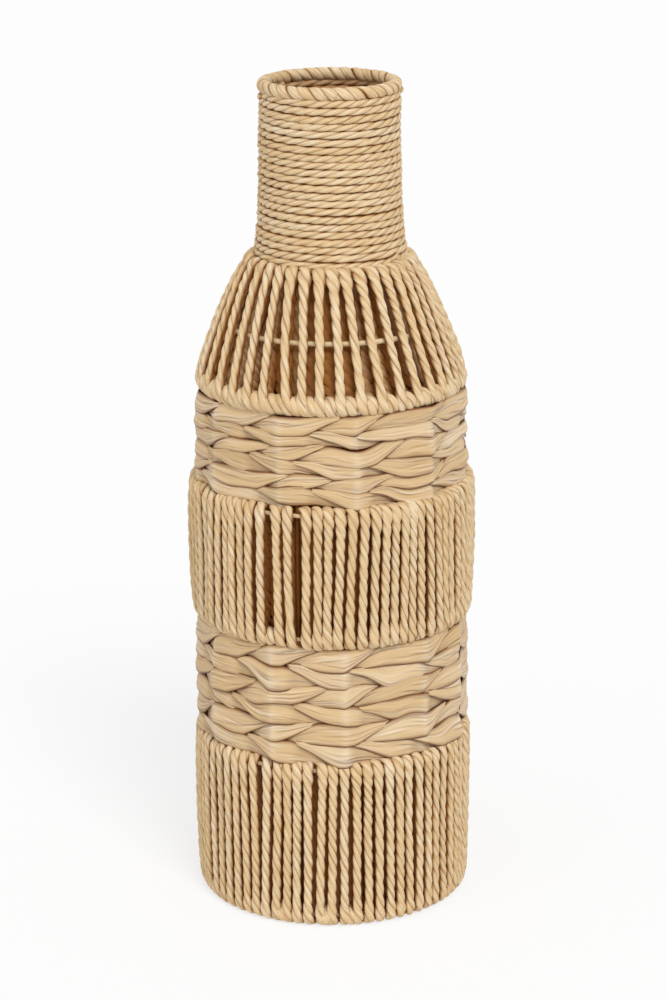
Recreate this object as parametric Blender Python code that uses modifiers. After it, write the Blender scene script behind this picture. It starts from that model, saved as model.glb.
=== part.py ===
"""Woven bottle vase: a welded wire frame, wound and laced with paper cord and twined with paper ribbon.

Metres, +Z up. The origin is the middle of the face that the vase stands on, and the front looks along -Y.
"""

import math

import bmesh
import bpy
from mathutils import Vector

MM = 0.001

# Wire frame
WIRE_DIAMETER = 2.4 * MM
BAR_DIAMETER = 1.8 * MM
STAYS = 12
BASE_RADIUS = 72.8 * MM
SKIRT_TOP_RADIUS = 74.0 * MM
BELLY_BOTTOM_RADIUS = 74.5 * MM
BELLY_TOP_RADIUS = 75.4 * MM
SHOULDER_RING_RADIUS = 70.9 * MM
NECK_RING_RADIUS = 43.0 * MM
MOUTH_RING_RADIUS = 35.2 * MM
SKIRT_RISE = 89.2 * MM  # from the base ring to the skirt's top ring, and so on up, ring to ring
LOWER_WEAVE_RISE = 73.7 * MM
BELLY_RISE = 72.8 * MM
UPPER_WEAVE_RISE = 56.8 * MM
SHOULDER_RISE = 67.2 * MM
NECK_RISE = 95.8 * MM
HOOP_SHARE = 0.5  # how far down the shoulder the hoop is
HOOP_BOW = 1.0 * MM  # how far the hoop pushes the shoulder cords out of line
NECK_SPREAD = 1.3 * MM  # how much wider the stays stand at the foot of the straight neck than at the mouth
NECK_FLARE = 15.8 * MM  # from the neck ring up to the foot of the straight neck

# Cord
PANEL_CORD = 4.2 * MM
SHOULDER_CORD = 3.8 * MM
NECK_CORD = 3.85 * MM
NECK_CORD_GAP = 0.05 * MM  # between the corners of two turns; the flats that face each other leave more
LASHING_WIDTH = 3.9 * MM
LASHING_THICKNESS = 1.8 * MM
CORD_GAP = 0.42 * MM
PANEL_LOOPS = (7,)  # loops between two stays, repeated round the vase
SHOULDER_LOOPS = (4, 4, 3)
LASHING_LOOPS = (3,)
FOOT_SHARE = 0.1  # how much of the cord's thickness is cut flat where the vase stands on it

# Ribbon
ROWS = 6
ROW_DIP = 1.1 * MM  # how deep the valley between two rows is
UPPER_FRONT_TOP = 5.2 * MM  # ribbon in front of a stay, at the top and the bottom of each woven band
UPPER_FRONT_BOTTOM = 2.6 * MM
LOWER_FRONT_TOP = 4.2 * MM
LOWER_FRONT_BOTTOM = 4.5 * MM
RIBBON_BACK = 2.4 * MM

# Fits
CLEARANCE = 0.3 * MM
STAY_CLEARANCE = 0.45 * MM
LASHING_CLEARANCE = 0.45 * MM
HOLE_CLEARANCE = 0.5 * MM
OVERRUN = 5.0 * MM

# Facets
RING_SEGMENTS = 24
LOOP_POINTS = 4
HOOP_POINTS = 5  # points of a loop that also passes over the hoop
RING_SIDES = 6
TURN_POINTS = 16
WRAP_POINTS = 5
HOLE_SIDES = 6

WIRE = WIRE_DIAMETER / 2
WELD = WIRE_DIAMETER + CLEARANCE  # between the lines of two wires that lie side by side
BAY = 2 * math.pi / STAYS
CORNER = math.cos(math.pi / 4)  # a tube that turns a square corner is this much thinner across the bend


def stay_angle(number):
    """The first stay stands half a bay to the right of the front."""
    return -math.pi / 2 + (number + 0.5) * BAY


def at(radius, angle, height):
    return Vector((radius * math.cos(angle), radius * math.sin(angle), height))


def place(spot, angle):
    """The point of a (radius, height) spot at an angle."""
    return at(spot[0], angle, spot[1])


def outward(point):
    return Vector((point.x, point.y, 0)).normalized()


def sideways(point):
    """The level direction round the vase at a point."""
    return Vector((-point.y, point.x, 0)).normalized()


def blend(low, high, share):
    return low + (high - low) * share


def radius_on(line, height):
    """Radius of a falling line of (radius, height) points at a height."""
    for (upper_radius, upper), (lower_radius, lower) in zip(line, line[1:]):
        if upper >= height >= lower:
            return blend(upper_radius, lower_radius, (upper - height) / (upper - lower))
    return line[-1][0]


# The scene, its collections and its materials


def clear_scene():
    for thing in list(bpy.data.objects):
        bpy.data.objects.remove(thing)


def new_collection(name):
    made = bpy.data.collections.new(name)
    bpy.context.scene.collection.children.link(made)
    return made


def new_material(name, colour, roughness, metallic=0.0):
    made = bpy.data.materials.new(name)
    made.use_nodes = True
    shader = made.node_tree.nodes["Principled BSDF"]
    shader.inputs["Base Color"].default_value = (*colour, 1.0)
    shader.inputs["Roughness"].default_value = roughness
    shader.inputs["Metallic"].default_value = metallic
    return made


def add(name, data, material, collection):
    made = bpy.data.objects.new(name, data)
    made.data.materials.append(material)
    collection.objects.link(made)
    return made


def add_cutter(name, mesh, cutters):
    cutter = bpy.data.objects.new(name, mesh)
    cutter.hide_render = True
    cutter.display_type = "WIRE"
    cutters.objects.link(cutter)
    return cutter


def cut(target, cutter):
    made = target.modifiers.new(cutter.name, "BOOLEAN")
    made.operation = "DIFFERENCE"
    made.solver = "EXACT"
    made.object = cutter


def as_mesh(curve, collection):
    """The same tube as a mesh, so that it can be cut."""
    name = curve.name
    seen = curve.evaluated_get(bpy.context.evaluated_depsgraph_get())
    mesh = bpy.data.meshes.new_from_object(seen)
    shape = bmesh.new()
    shape.from_mesh(mesh)
    bmesh.ops.remove_doubles(shape, verts=shape.verts, dist=CLEARANCE / 100)
    shape.to_mesh(mesh)
    shape.free()
    made = bpy.data.objects.new(name, mesh)
    made.matrix_world = curve.matrix_world
    collection.objects.link(made)
    bpy.data.objects.remove(curve)
    made.name = name
    return made


# Tubes


def directions(points):
    """The way a path points at each of its points, half way between its two stretches."""
    steps = [(after - before).normalized() for before, after in zip(points, points[1:])]
    inner = [(before + after).normalized() for before, after in zip(steps, steps[1:])]
    return [steps[0], *inner, steps[-1]]


def aimed_tilts(points, aim, turn=0.0):
    """The tilts that turn one side of a tube to a wanted direction at each point.

    A curve carries its section along without twist, and a path that goes round the vase turns it a little
    with each loop. The section is followed here, and the tilt at a point is what it lacks.
    """
    ways = directions(points)
    side = first_side(ways[0])
    tilts = []
    for number, (point, way) in enumerate(zip(points, ways)):
        if number:
            side = ways[number - 1].rotation_difference(way) @ side
        wanted = aim(point)
        wanted = (wanted - way * wanted.dot(way)).normalized()
        tilts.append(math.atan2(side.cross(wanted).dot(way), side.dot(wanted)) + turn)
    return tilts


def first_side(way):
    """Where a curve puts the first corner of its section at its first point."""
    return way.to_track_quat("Z", "Y") @ Vector((1, 0, 0))


def new_curve(name, points, thickness, resolution, tilts=None, width=0.0):
    data = bpy.data.curves.new(name, "CURVE")
    data.dimensions = "3D"
    data.twist_mode = "MINIMUM"
    data.bevel_depth = thickness / 2
    data.bevel_resolution = resolution
    data.extrude = width / 2
    data.use_fill_caps = True
    line = data.splines.new("POLY")
    line.points.add(len(points) - 1)
    for number, place in enumerate(points):
        line.points[number].co = (*place, 1.0)
        if tilts:
            line.points[number].tilt = tilts[number]
    line.use_smooth = resolution > 0
    return data


# Wire frame


def ring_spots():
    """The (radius, height) of each ring, the heights stacked from the floor up."""
    height = fold_reach(PANEL_CORD) - PANEL_CORD * FOOT_SHARE
    spots = {"base_ring": (BASE_RADIUS, height)}
    for name, radius, rise in (
        ("skirt_top_ring", SKIRT_TOP_RADIUS, SKIRT_RISE),
        ("belly_bottom_ring", BELLY_BOTTOM_RADIUS, LOWER_WEAVE_RISE),
        ("belly_top_ring", BELLY_TOP_RADIUS, BELLY_RISE),
        ("shoulder_ring", SHOULDER_RING_RADIUS, UPPER_WEAVE_RISE),
        ("neck_ring", NECK_RING_RADIUS, SHOULDER_RISE),
        ("mouth_ring", MOUTH_RING_RADIUS, NECK_RISE),
    ):
        height += rise
        spots[name] = (radius, height)
    return spots


def hoop_spot(spots):
    (upper_radius, upper), (lower_radius, lower) = spots["neck_ring"], spots["shoulder_ring"]
    return blend(upper_radius, lower_radius, HOOP_SHARE) + HOOP_BOW, blend(upper, lower, HOOP_SHARE)


def shoulder_lean(spots):
    return lean_of(spots["neck_ring"], spots["shoulder_ring"])


def stay_line(spots):
    """(radius, height) of a stay's points, from the mouth down to the base."""
    mouth, neck, hoop = spots["mouth_ring"], spots["neck_ring"], hoop_spot(spots)
    line = [
        (mouth[0] - WELD, mouth[1] + WIRE),
        (mouth[0] - WELD + NECK_SPREAD, neck[1] + NECK_FLARE),
        (neck[0] - WELD, neck[1]),
        (hoop[0] - WELD / math.cos(shoulder_lean(spots)), hoop[1]),
    ]
    for name in ("shoulder_ring", "belly_top_ring", "belly_bottom_ring", "skirt_top_ring", "base_ring"):
        radius, height = spots[name]
        line.append((radius - WELD, height))
    return line


def make_rings(spots, material, collection):
    for name, (radius, height) in {**spots, "shoulder_hoop": hoop_spot(spots)}.items():
        bpy.ops.mesh.primitive_torus_add(
            major_segments=RING_SEGMENTS,
            minor_segments=RING_SIDES,
            major_radius=radius,
            minor_radius=WIRE,
            location=(0, 0, height),
            rotation=(0, 0, math.pi / STAYS),
        )
        ring = bpy.context.object
        ring.name = name
        ring.data.name = name
        ring.data.shade_smooth()
        ring.data.materials.append(material)
        for owner in list(ring.users_collection):
            owner.objects.unlink(ring)
        collection.objects.link(ring)


def make_stays(spots, material, collection):
    line = stay_line(spots)
    for number in range(STAYS):
        points = [place(spot, stay_angle(number)) for spot in line]
        name = f"stay_{number + 1:02d}"
        add(name, new_curve(name, points, WIRE_DIAMETER, 1), material, collection)


def make_base_bars(spots, material, collection):
    """Two crossed bars from stay to stay, the second laid on the first."""
    radius, height = spots["base_ring"]
    reach = radius - WELD - WIRE - CLEARANCE
    lift = (BAR_DIAMETER + CLEARANCE) / 2
    bars = {
        "base_bar_lower": (stay_angle(0), height - lift),
        "base_bar_upper": (stay_angle(STAYS // 4), height + lift),
    }
    for name, (angle, level) in bars.items():
        points = [at(-reach, angle, level), at(reach, angle, level)]
        add(name, new_curve(name, points, BAR_DIAMETER, 1), material, collection)


# Cord


# Cord


def lean_of(top, bottom):
    """How far the wall between two rings, each a (radius, height), leans from upright."""
    return math.atan2(bottom[0] - top[0], top[1] - bottom[1])


def fold_reach(cord, lean=0.0):
    """From a ring's middle to the outside of the cord that is folded over it."""
    return WIRE + CLEARANCE + cord * math.cos(math.pi / 4 - lean / 2)


def fold_corner(ring, over, outside, lean, cord):
    """(radius, height) of the path where a cord turns from a wall's face to the fold over or under a ring.

    The turn clears the ring outside, and the stay that is welded behind the ring inside. A tube keeps its
    width across a turn, so its middle stands half its width out from the clear corner.
    """
    up = 1 if over else -1
    side = 1 if outside else -1
    height = up * (WIRE + CLEARANCE)
    radius = (side * (WIRE + CLEARANCE) - height * math.sin(lean)) / math.cos(lean)
    if not outside:
        radius -= WELD
    way = Vector((side * math.cos(lean), up + side * math.sin(lean))).normalized() * cord / 2
    return ring[0] + radius + way.x, ring[1] + height + way.y


def loop_angles(counts, width, inner_radius, stay_radius):
    """The angle of each loop: evenly between two stays, with room for the stay."""
    margin = math.asin((WIRE + STAY_CLEARANCE + width / 2) / stay_radius)
    room = BAY - 2 * margin
    fitting = int(room * inner_radius / (width + CORD_GAP)) + 1
    angles = []
    for bay in range(STAYS):
        count = min(counts[bay % len(counts)], fitting)
        step = room / (count - 1)
        start = stay_angle(bay) + margin
        angles += [start + number * step for number in range(count)]
    return angles


def lacing(top, bottom, cord, counts, over=None):
    """The path of a cord laced over one ring and under another, one loop after the other.

    It runs down outside, over the hoop if there is one, folds under the lower ring, and climbs inside the
    stays to the next loop's place, so that each stay passes between two folds. Both ends stand inside.
    """
    lean = lean_of(top, bottom)
    outer_top = fold_corner(top, True, True, lean, cord)
    outer_bottom = fold_corner(bottom, False, True, lean, cord)
    inner_bottom = fold_corner(bottom, False, False, lean, cord)
    inner_top = fold_corner(top, True, False, lean, cord)
    stay = min(top[0], bottom[0]) - WELD
    angles = loop_angles(counts, cord, min(inner_top[0], inner_bottom[0]), stay)
    step = angles[1] - angles[0]
    tuck = 2 * cord / (inner_top[1] - inner_bottom[1])
    points = [place(inner_top, angles[0]).lerp(place(inner_bottom, angles[0] - step), tuck)]
    for here in angles:
        points.append(place(inner_top, here))
        points.append(place(outer_top, here))
        if over:
            points.append(place(over, here))
        points.append(place(outer_bottom, here))
        points.append(place(inner_bottom, here))
    points.append(points[-1].lerp(place(inner_top, angles[-1] + step), tuck))
    return points


def least_gap(points, thickness, near, far):
    """The least gap of a tube to itself, between stretches that are this many points apart."""
    best = math.inf
    for number, (start, end) in enumerate(zip(points, points[1:])):
        for other in range(number + near, min(number + far, len(points) - 1)):
            best = min(best, stretch_distance(start, end, points[other], points[other + 1]))
    return best - thickness


def stretch_distance(a, b, c, d):
    """The distance between the stretches a to b and c to d."""
    first, second, between = b - a, d - c, a - c
    ff, fs, ss = first.dot(first), first.dot(second), second.dot(second)
    fb, sb = first.dot(between), second.dot(between)
    spread = ff * ss - fs * fs
    along = max(0.0, min(1.0, (fs * sb - ss * fb) / spread)) if spread > 0 else 0.0
    across = max(0.0, min(1.0, (fs * along + sb) / ss))
    along = max(0.0, min(1.0, (fs * across - fb) / ff))
    return (a + first * along - c - second * across).length


def print_gap(name, loops, gap):
    print(f"{name}: {loops} loops, least gap to itself {gap / MM:.2f} mm")


def make_wrap(name, top, bottom, cord, counts, material, collection, over=None):
    points = lacing(top, bottom, cord, counts, over)
    tilts = aimed_tilts(points, sideways, math.pi / 4)
    corner_to_corner = cord / CORNER
    loop_points = HOOP_POINTS if over else LOOP_POINTS
    gap = least_gap(points, cord, loop_points - 1, 3 * loop_points)
    print_gap(name, len(points) // loop_points, gap)
    return add(name, new_curve(name, points, corner_to_corner, 0, tilts), material, collection)


def make_foot(wrap, collection, cutters):
    """The undersides of the lowest folds cut flat, so that the vase stands on them."""
    mesh = bpy.data.meshes.new("foot_cut")
    shape = bmesh.new()
    side = 2 * (BASE_RADIUS + PANEL_CORD + OVERRUN)
    bmesh.ops.create_cube(shape, size=side)
    bmesh.ops.translate(shape, verts=shape.verts, vec=(0, 0, -side / 2))
    shape.to_mesh(mesh)
    shape.free()
    cut(as_mesh(wrap, collection), add_cutter("foot_cut", mesh, cutters))


def make_wraps(spots, material, collection, cutters):
    radius, height = hoop_spot(spots)
    radius += (WIRE + CLEARANCE + SHOULDER_CORD / 2) / math.cos(shoulder_lean(spots))
    make_wrap(
        "shoulder_wrap",
        spots["neck_ring"],
        spots["shoulder_ring"],
        SHOULDER_CORD,
        SHOULDER_LOOPS,
        material,
        collection,
        (radius, height),
    )
    panel = (PANEL_CORD, PANEL_LOOPS, material, collection)
    make_wrap("belly_wrap", spots["belly_top_ring"], spots["belly_bottom_ring"], *panel)
    skirt = make_wrap("skirt_wrap", spots["skirt_top_ring"], spots["base_ring"], *panel)
    make_foot(skirt, collection, cutters)


def make_neck_winding(spots, material, collection):
    """One cord wound round the stays, from under the rim down to the shoulder cords."""
    top = spots["mouth_ring"][1] - lashing_reach() - CLEARANCE - NECK_CORD / 2
    shoulder = fold_reach(SHOULDER_CORD, shoulder_lean(spots))
    bottom = spots["neck_ring"][1] + shoulder + CLEARANCE + NECK_CORD / 2
    turns = int((top - bottom) / (NECK_CORD + NECK_CORD_GAP))
    line = stay_line(spots)
    hug = math.cos(math.pi / TURN_POINTS)  # a chord's middle lies this share as far out as its ends
    points = []
    for number in range(turns * TURN_POINTS + 1):
        height = blend(top, bottom, number / (turns * TURN_POINTS))
        clear = radius_on(line, height) + WIRE + CLEARANCE + NECK_CORD / 2
        angle = stay_angle(0) - number * 2 * math.pi / TURN_POINTS
        points.append(at(clear / hug, angle, height))
    across_flats = NECK_CORD * math.cos(math.pi / 6)
    print_gap("neck_winding", turns, least_gap(points, across_flats, TURN_POINTS // 2, 2 * TURN_POINTS))
    tilts = aimed_tilts(points, outward)
    add("neck_winding", new_curve("neck_winding", points, NECK_CORD, 1, tilts), material, collection)


def lashing_middle():
    """From the mouth ring's middle to the corners of the lashing's path."""
    return (WIRE + LASHING_CLEARANCE) / math.cos(math.pi / WRAP_POINTS) + LASHING_THICKNESS / 2


def lashing_reach():
    return lashing_middle() + LASHING_THICKNESS / 2


def make_rim_lashing(spots, material, collection):
    """Flattened cord lashed round the mouth ring, the tops of the stays standing between its wraps.

    Each wrap runs down inside the ring and then moves on as it goes under, outside and over.
    """
    ring, level = spots["mouth_ring"]
    reach = lashing_middle()
    inner = ring - reach * math.cos(math.pi / WRAP_POINTS)
    angles = loop_angles(LASHING_LOOPS, LASHING_WIDTH, inner, ring - WELD)
    points = []
    for here, there in zip(angles, [*angles[1:], angles[0] + 2 * math.pi]):
        for number in range(WRAP_POINTS):
            round_ring = math.pi + (number - 0.5) * 2 * math.pi / WRAP_POINTS
            moved = blend(here, there, max(0, number - 1) / (WRAP_POINTS - 1))
            points.append(at(ring + reach * math.cos(round_ring), moved, level + reach * math.sin(round_ring)))
    tilts = aimed_tilts(points, sideways, math.pi / 2)
    width = LASHING_WIDTH - LASHING_THICKNESS
    data = new_curve("rim_lashing", points, LASHING_THICKNESS, 0, tilts, width)
    print_gap("rim_lashing", len(angles), least_gap(points, LASHING_WIDTH, WRAP_POINTS - 1, WRAP_POINTS + 2))
    add("rim_lashing", data, material, collection)


# Woven bands


def band_outline(line, top, bottom, front_top, front_bottom):
    """Outline of a woven band where it crosses a stay: rows that swell between valleys, and a plain back."""
    outer = []
    for number in range(2 * ROWS + 1):
        share = number / (2 * ROWS)
        height = blend(top, bottom, share)
        radius = radius_on(line, height) + WIRE + blend(front_top, front_bottom, share)
        if number % 2 == 0:
            radius -= ROW_DIP
        outer.append((radius, height))
    back = [(radius_on(line, height) - WIRE - RIBBON_BACK, height) for height in (bottom, top)]
    return outer + back


def turned(name, outline, material, collection, turn):
    """A ring whose outline stands at +X, turned in as many steps as there are stays."""
    mesh = bpy.data.meshes.new(name)
    shape = bmesh.new()
    corners = [shape.verts.new((radius, 0, height)) for radius, height in outline]
    for one, other in zip(corners, corners[1:] + corners[:1]):
        shape.edges.new((one, other))
    shape.to_mesh(mesh)
    shape.free()
    made = add(name, mesh, material, collection)
    screw = made.modifiers.new("Turn", "SCREW")
    screw.steps = STAYS
    screw.render_steps = STAYS
    screw.merge_threshold = CLEARANCE / 10
    screw.use_merge_vertices = True
    made.rotation_euler.z = turn
    return made


def stay_cutter(name, line, top, bottom, cutters):
    """Round holes for the stays, along the line that they take through a woven band."""
    high, low = top + OVERRUN, bottom - OVERRUN
    slope = (radius_on(line, bottom) - radius_on(line, top)) / (top - bottom)
    high_radius = radius_on(line, top) - slope * OVERRUN
    low_radius = radius_on(line, bottom) + slope * OVERRUN
    shape = bmesh.new()
    for number in range(STAYS):
        angle = stay_angle(number)
        upper, lower = at(high_radius, angle, high), at(low_radius, angle, low)
        way = upper - lower
        turn = way.to_track_quat("Z", "Y").to_matrix().to_4x4()
        turn.translation = (upper + lower) / 2
        bmesh.ops.create_cone(
            shape,
            cap_ends=True,
            segments=HOLE_SIDES,
            radius1=WIRE + HOLE_CLEARANCE,
            radius2=WIRE + HOLE_CLEARANCE,
            depth=way.length,
            matrix=turn,
        )
    mesh = bpy.data.meshes.new(name)
    shape.to_mesh(mesh)
    shape.free()
    return add_cutter(name, mesh, cutters)


def make_weave(name, line, top, bottom, fronts, material, collection, cutters):
    """A woven band, its rows turned round the stays and its stay holes cut through."""
    outline = band_outline(line, top, bottom, *fronts)
    band = turned(name, outline, material, collection, stay_angle(0))
    cut(band, stay_cutter(f"{name}_holes", line, top, bottom, cutters))


def make_weaves(spots, material, collection, cutters):
    """The two woven bands, each between the folds over the rings above and below it."""
    line = stay_line(spots)
    shoulder = fold_reach(SHOULDER_CORD, shoulder_lean(spots)) + CLEARANCE
    panel = fold_reach(PANEL_CORD) + CLEARANCE
    top, bottom = spots["shoulder_ring"][1] - shoulder, spots["belly_top_ring"][1] + panel
    fronts = (UPPER_FRONT_TOP, UPPER_FRONT_BOTTOM)
    make_weave("upper_weave", line, top, bottom, fronts, material, collection, cutters)
    top, bottom = spots["belly_bottom_ring"][1] - panel, spots["skirt_top_ring"][1] + panel
    fronts = (LOWER_FRONT_TOP, LOWER_FRONT_BOTTOM)
    make_weave("lower_weave", line, top, bottom, fronts, material, collection, cutters)


def main():
    clear_scene()
    vase = new_collection("woven_bottle_vase")
    cutters = new_collection("cutters")
    wire = new_material("coated_wire", (0.62, 0.47, 0.29), 0.45)
    cord = new_material("paper_cord", (0.65, 0.47, 0.27), 0.75)
    ribbon = new_material("paper_ribbon", (0.62, 0.45, 0.26), 0.68)
    spots = ring_spots()
    make_rings(spots, wire, vase)
    make_stays(spots, wire, vase)
    make_base_bars(spots, wire, vase)
    make_rim_lashing(spots, cord, vase)
    make_neck_winding(spots, cord, vase)
    make_wraps(spots, cord, vase, cutters)
    make_weaves(spots, ribbon, vase, cutters)


main()
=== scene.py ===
"""Woven bottle vase: twisted paper cord and flat paper ribbon worked on a coated wire frame.

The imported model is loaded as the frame. Each sub-assembly is a class that builds its own
visible pieces round that frame and dresses them. Lengths are in millimetres inside the
classes and turn to metres where a mesh is made. Angles go round the vase from the front.
"""

import logging
import math
from dataclasses import dataclass, field
from enum import Enum
from typing import Any, Sequence

import bpy
import numpy as np
from mathutils import Matrix, Vector


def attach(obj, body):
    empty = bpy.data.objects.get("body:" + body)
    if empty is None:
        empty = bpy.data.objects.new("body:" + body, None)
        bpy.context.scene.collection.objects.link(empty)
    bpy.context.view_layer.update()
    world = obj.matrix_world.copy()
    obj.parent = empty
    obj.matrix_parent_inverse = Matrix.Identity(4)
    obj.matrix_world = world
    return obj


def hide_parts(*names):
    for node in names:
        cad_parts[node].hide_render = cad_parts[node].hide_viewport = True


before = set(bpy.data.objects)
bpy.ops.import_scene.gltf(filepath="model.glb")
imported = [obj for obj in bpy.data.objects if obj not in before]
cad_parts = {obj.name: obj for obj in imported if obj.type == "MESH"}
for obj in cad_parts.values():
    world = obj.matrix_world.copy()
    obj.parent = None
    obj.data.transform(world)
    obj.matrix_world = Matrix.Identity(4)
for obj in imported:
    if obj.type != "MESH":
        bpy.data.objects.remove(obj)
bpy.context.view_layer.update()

LOG = logging.getLogger("vase")
MILLIMETRE = 0.001
FULL_TURN = 2.0 * math.pi
# Degrees to a radian.
DEGREES = 57.3
UPWARD = np.array([0.0, 0.0, 1.0])
Array = np.ndarray


class Slot(Enum):
    """Names of the material slots."""

    CORD = "paper_cord"
    RIBBON = "paper_ribbon"
    WIRE = "coated_wire"


class Slant(Enum):
    """Which way a twined row leans where its strands change places."""

    RISING = 1
    FALLING = -1


def linear_colour(code: str) -> tuple[float, float, float, float]:
    """Turns an sRGB hex colour to linear RGBA.

    Args:
        code: Six hex digits, with or without a leading hash.

    Returns:
        Linear red, green, blue and an alpha of one.
    """
    digits = code.lstrip("#")
    parts = [int(digits[i : i + 2], 16) / 255 for i in (0, 2, 4)]
    low, high = 0.04045, 2.4
    turned = [p / 12.92 if p <= low else ((p + 0.055) / 1.055) ** high for p in parts]
    return (turned[0], turned[1], turned[2], 1.0)


def add_node(tree: Any, kind: str, inputs: dict[Any, Any] | None = None, **settings: Any) -> Any:
    """Adds one shader node with its settings and links.

    Args:
        tree: The node tree.
        kind: The node's type name.
        inputs: Socket name or number to a value, or to the output socket it is linked from.
        settings: Properties of the node itself.

    Returns:
        The new node.
    """
    node = tree.nodes.new(kind)
    for name, value in settings.items():
        setattr(node, name, value)
    for socket, value in (inputs or {}).items():
        if isinstance(value, bpy.types.NodeSocket):
            tree.links.new(value, node.inputs[socket])
        else:
            node.inputs[socket].default_value = value
    return node


def set_ramp(node: Any, stops: Sequence[tuple[float, str]]) -> None:
    """Gives a colour ramp its stops.

    Args:
        node: The colour ramp node.
        stops: Place from 0 to 1 and sRGB hex colour of each stop.
    """
    ramp = node.color_ramp
    while len(ramp.elements) < len(stops):
        ramp.elements.new(0.5)
    for element, (place, code) in zip(ramp.elements, stops):
        element.position = place
        element.color = linear_colour(code)


def new_material(name: str) -> tuple[Any, Any]:
    """Makes an empty node material.

    Args:
        name: The material's name.

    Returns:
        The material and its output node.
    """
    material = bpy.data.materials.new(name)
    material.use_nodes = True
    material.node_tree.nodes.clear()
    output = add_node(material.node_tree, "ShaderNodeOutputMaterial")
    return material, output


def around(radius: float | Array, angle: Array, height: float | Array) -> Array:
    """Points from their radius, angle from the front in radians and height.

    Args:
        radius: Distance from the axis.
        angle: Angle from the front, growing to the right.
        height: Height above the floor.

    Returns:
        One row of x, y, z per point.
    """
    radius, angle, height = np.broadcast_arrays(radius, angle, height)
    return np.stack([radius * np.sin(angle), -radius * np.cos(angle), height], axis=-1)


def sideways(angle: Array) -> Array:
    """Unit vectors along the round of the vase at each angle."""
    return np.stack([np.cos(angle), np.sin(angle), np.zeros_like(angle)], axis=-1)


def outward(angle: Array) -> Array:
    """Unit vectors away from the axis at each angle."""
    return np.stack([np.sin(angle), -np.cos(angle), np.zeros_like(angle)], axis=-1)


def unit(vectors: Array) -> Array:
    """Rows scaled to length one."""
    return vectors / np.maximum(np.linalg.norm(vectors, axis=-1, keepdims=True), 1e-9)


def ease(value: Array) -> Array:
    """Smooth step from 0 to 1, flat outside."""
    held = np.clip(value, 0.0, 1.0)
    return held * held * (3.0 - 2.0 * held)


def wander(rng: np.random.Generator, places: Array, stride: float, size: float) -> Array:
    """A slow random line.

    Args:
        rng: Seeded random numbers.
        places: Where it is wanted, growing.
        stride: Distance between its random knots.
        size: Its standard deviation.

    Returns:
        Its value at each place.
    """
    knots = np.arange(places[0] - stride, places[-1] + 2 * stride, stride)
    values = rng.normal(0.0, size, len(knots))
    step = (places - knots[0]) / stride
    low = np.clip(step.astype(int), 0, len(knots) - 2)
    share = ease(step - low)
    return values[low] * (1 - share) + values[low + 1] * share


@dataclass
class Shell:
    """One closed skin with what its finish needs to know at each point."""

    points: Array
    faces: Array
    uv: Array
    # The paper's own drifting tone with painted highlights, painted shade in folds and between parts, and
    # painted shade inside the vase.
    tint: Array
    groove_shade: Array
    shade: Array


def strip_cap(first: int, sides: int, flip: bool) -> list[list[int]]:
    """Closes one end of a tube with four-sided faces laid across it.

    Args:
        first: Number of the end ring's first point.
        sides: Points in the ring.
        flip: Whether it is the far end.

    Returns:
        Point numbers, four to a face.
    """
    faces = []
    for k in range(sides // 2 - 1):
        quad = [first + k, first + k + 1, first + sides - 2 - k, first + sides - 1 - k]
        faces.append(quad if flip else quad[::-1])
    return faces


def grid_faces(rows: int, columns: int, closed: bool) -> Array:
    """Four-sided faces of a grid of points.

    Args:
        rows: Points along it.
        columns: Points across it.
        closed: Whether the last column joins the first.

    Returns:
        Point numbers, four to a face.
    """
    across = columns if closed else columns - 1
    i, j = np.meshgrid(np.arange(rows - 1), np.arange(across), indexing="ij")
    k = (j + 1) % columns
    here, beside = i * columns + j, i * columns + k
    return np.stack([here, beside, beside + columns, here + columns], -1).reshape(-1, 4)


@dataclass
class Piece:
    """Collects shells and makes them one visible object."""

    name: str
    slot: Slot
    material: Any
    nodes: Sequence[str] = ()
    shells: list[Shell] = field(default_factory=list)

    def make(self) -> Any:
        """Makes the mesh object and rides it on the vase.

        Returns:
            The new object.
        """
        start = 0
        faces = []
        for shell in self.shells:
            faces.append(shell.faces + start)
            start += len(shell.points)
        points = np.concatenate([shell.points for shell in self.shells]) * MILLIMETRE
        quads = np.concatenate(faces)
        mesh = bpy.data.meshes.new(self.name)
        mesh.vertices.add(len(points))
        mesh.vertices.foreach_set("co", points.astype(np.float32).ravel())
        mesh.loops.add(quads.size)
        mesh.loops.foreach_set("vertex_index", quads.astype(np.int32).ravel())
        mesh.polygons.add(len(quads))
        mesh.polygons.foreach_set("loop_start", np.arange(0, quads.size, 4, dtype=np.int32))
        mesh.polygons.foreach_set("use_smooth", np.ones(len(quads), dtype=bool))
        layer = mesh.uv_layers.new(name="along")
        uv = np.concatenate([shell.uv for shell in self.shells])
        layer.data.foreach_set("uv", uv.astype(np.float32).ravel())
        for title in ("tint", "groove_shade", "shade"):
            values = np.concatenate([getattr(shell, title) for shell in self.shells])
            attribute = mesh.attributes.new(title, "FLOAT", "POINT")
            attribute.data.foreach_set("value", values.astype(np.float32))
        mesh.update()
        mesh.validate()
        mesh.materials.append(self.material)
        piece = bpy.data.objects.new(self.name, mesh)
        bpy.context.scene.collection.objects.link(piece)
        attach(piece, "root")
        if self.nodes:
            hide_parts(*self.nodes)
        LOG.info("%s: %d faces", self.name, len(quads))
        return piece


def section_frame(path: Array, side: Array, closed: bool = False) -> tuple[Array, Array]:
    """Two directions square to a path, at each of its points.

    Args:
        path: Points along it.
        side: A vector at each point that isn't along the path.
        closed: Whether its ends join.

    Returns:
        The direction nearest to the given vector, and the one square to both.
    """
    if closed:
        tangent = unit(np.roll(path, -1, axis=0) - np.roll(path, 1, axis=0))
    else:
        tangent = unit(np.gradient(path, axis=0))
    across = unit(side - np.sum(side * tangent, axis=1, keepdims=True) * tangent)
    return across, np.cross(tangent, across)


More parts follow.
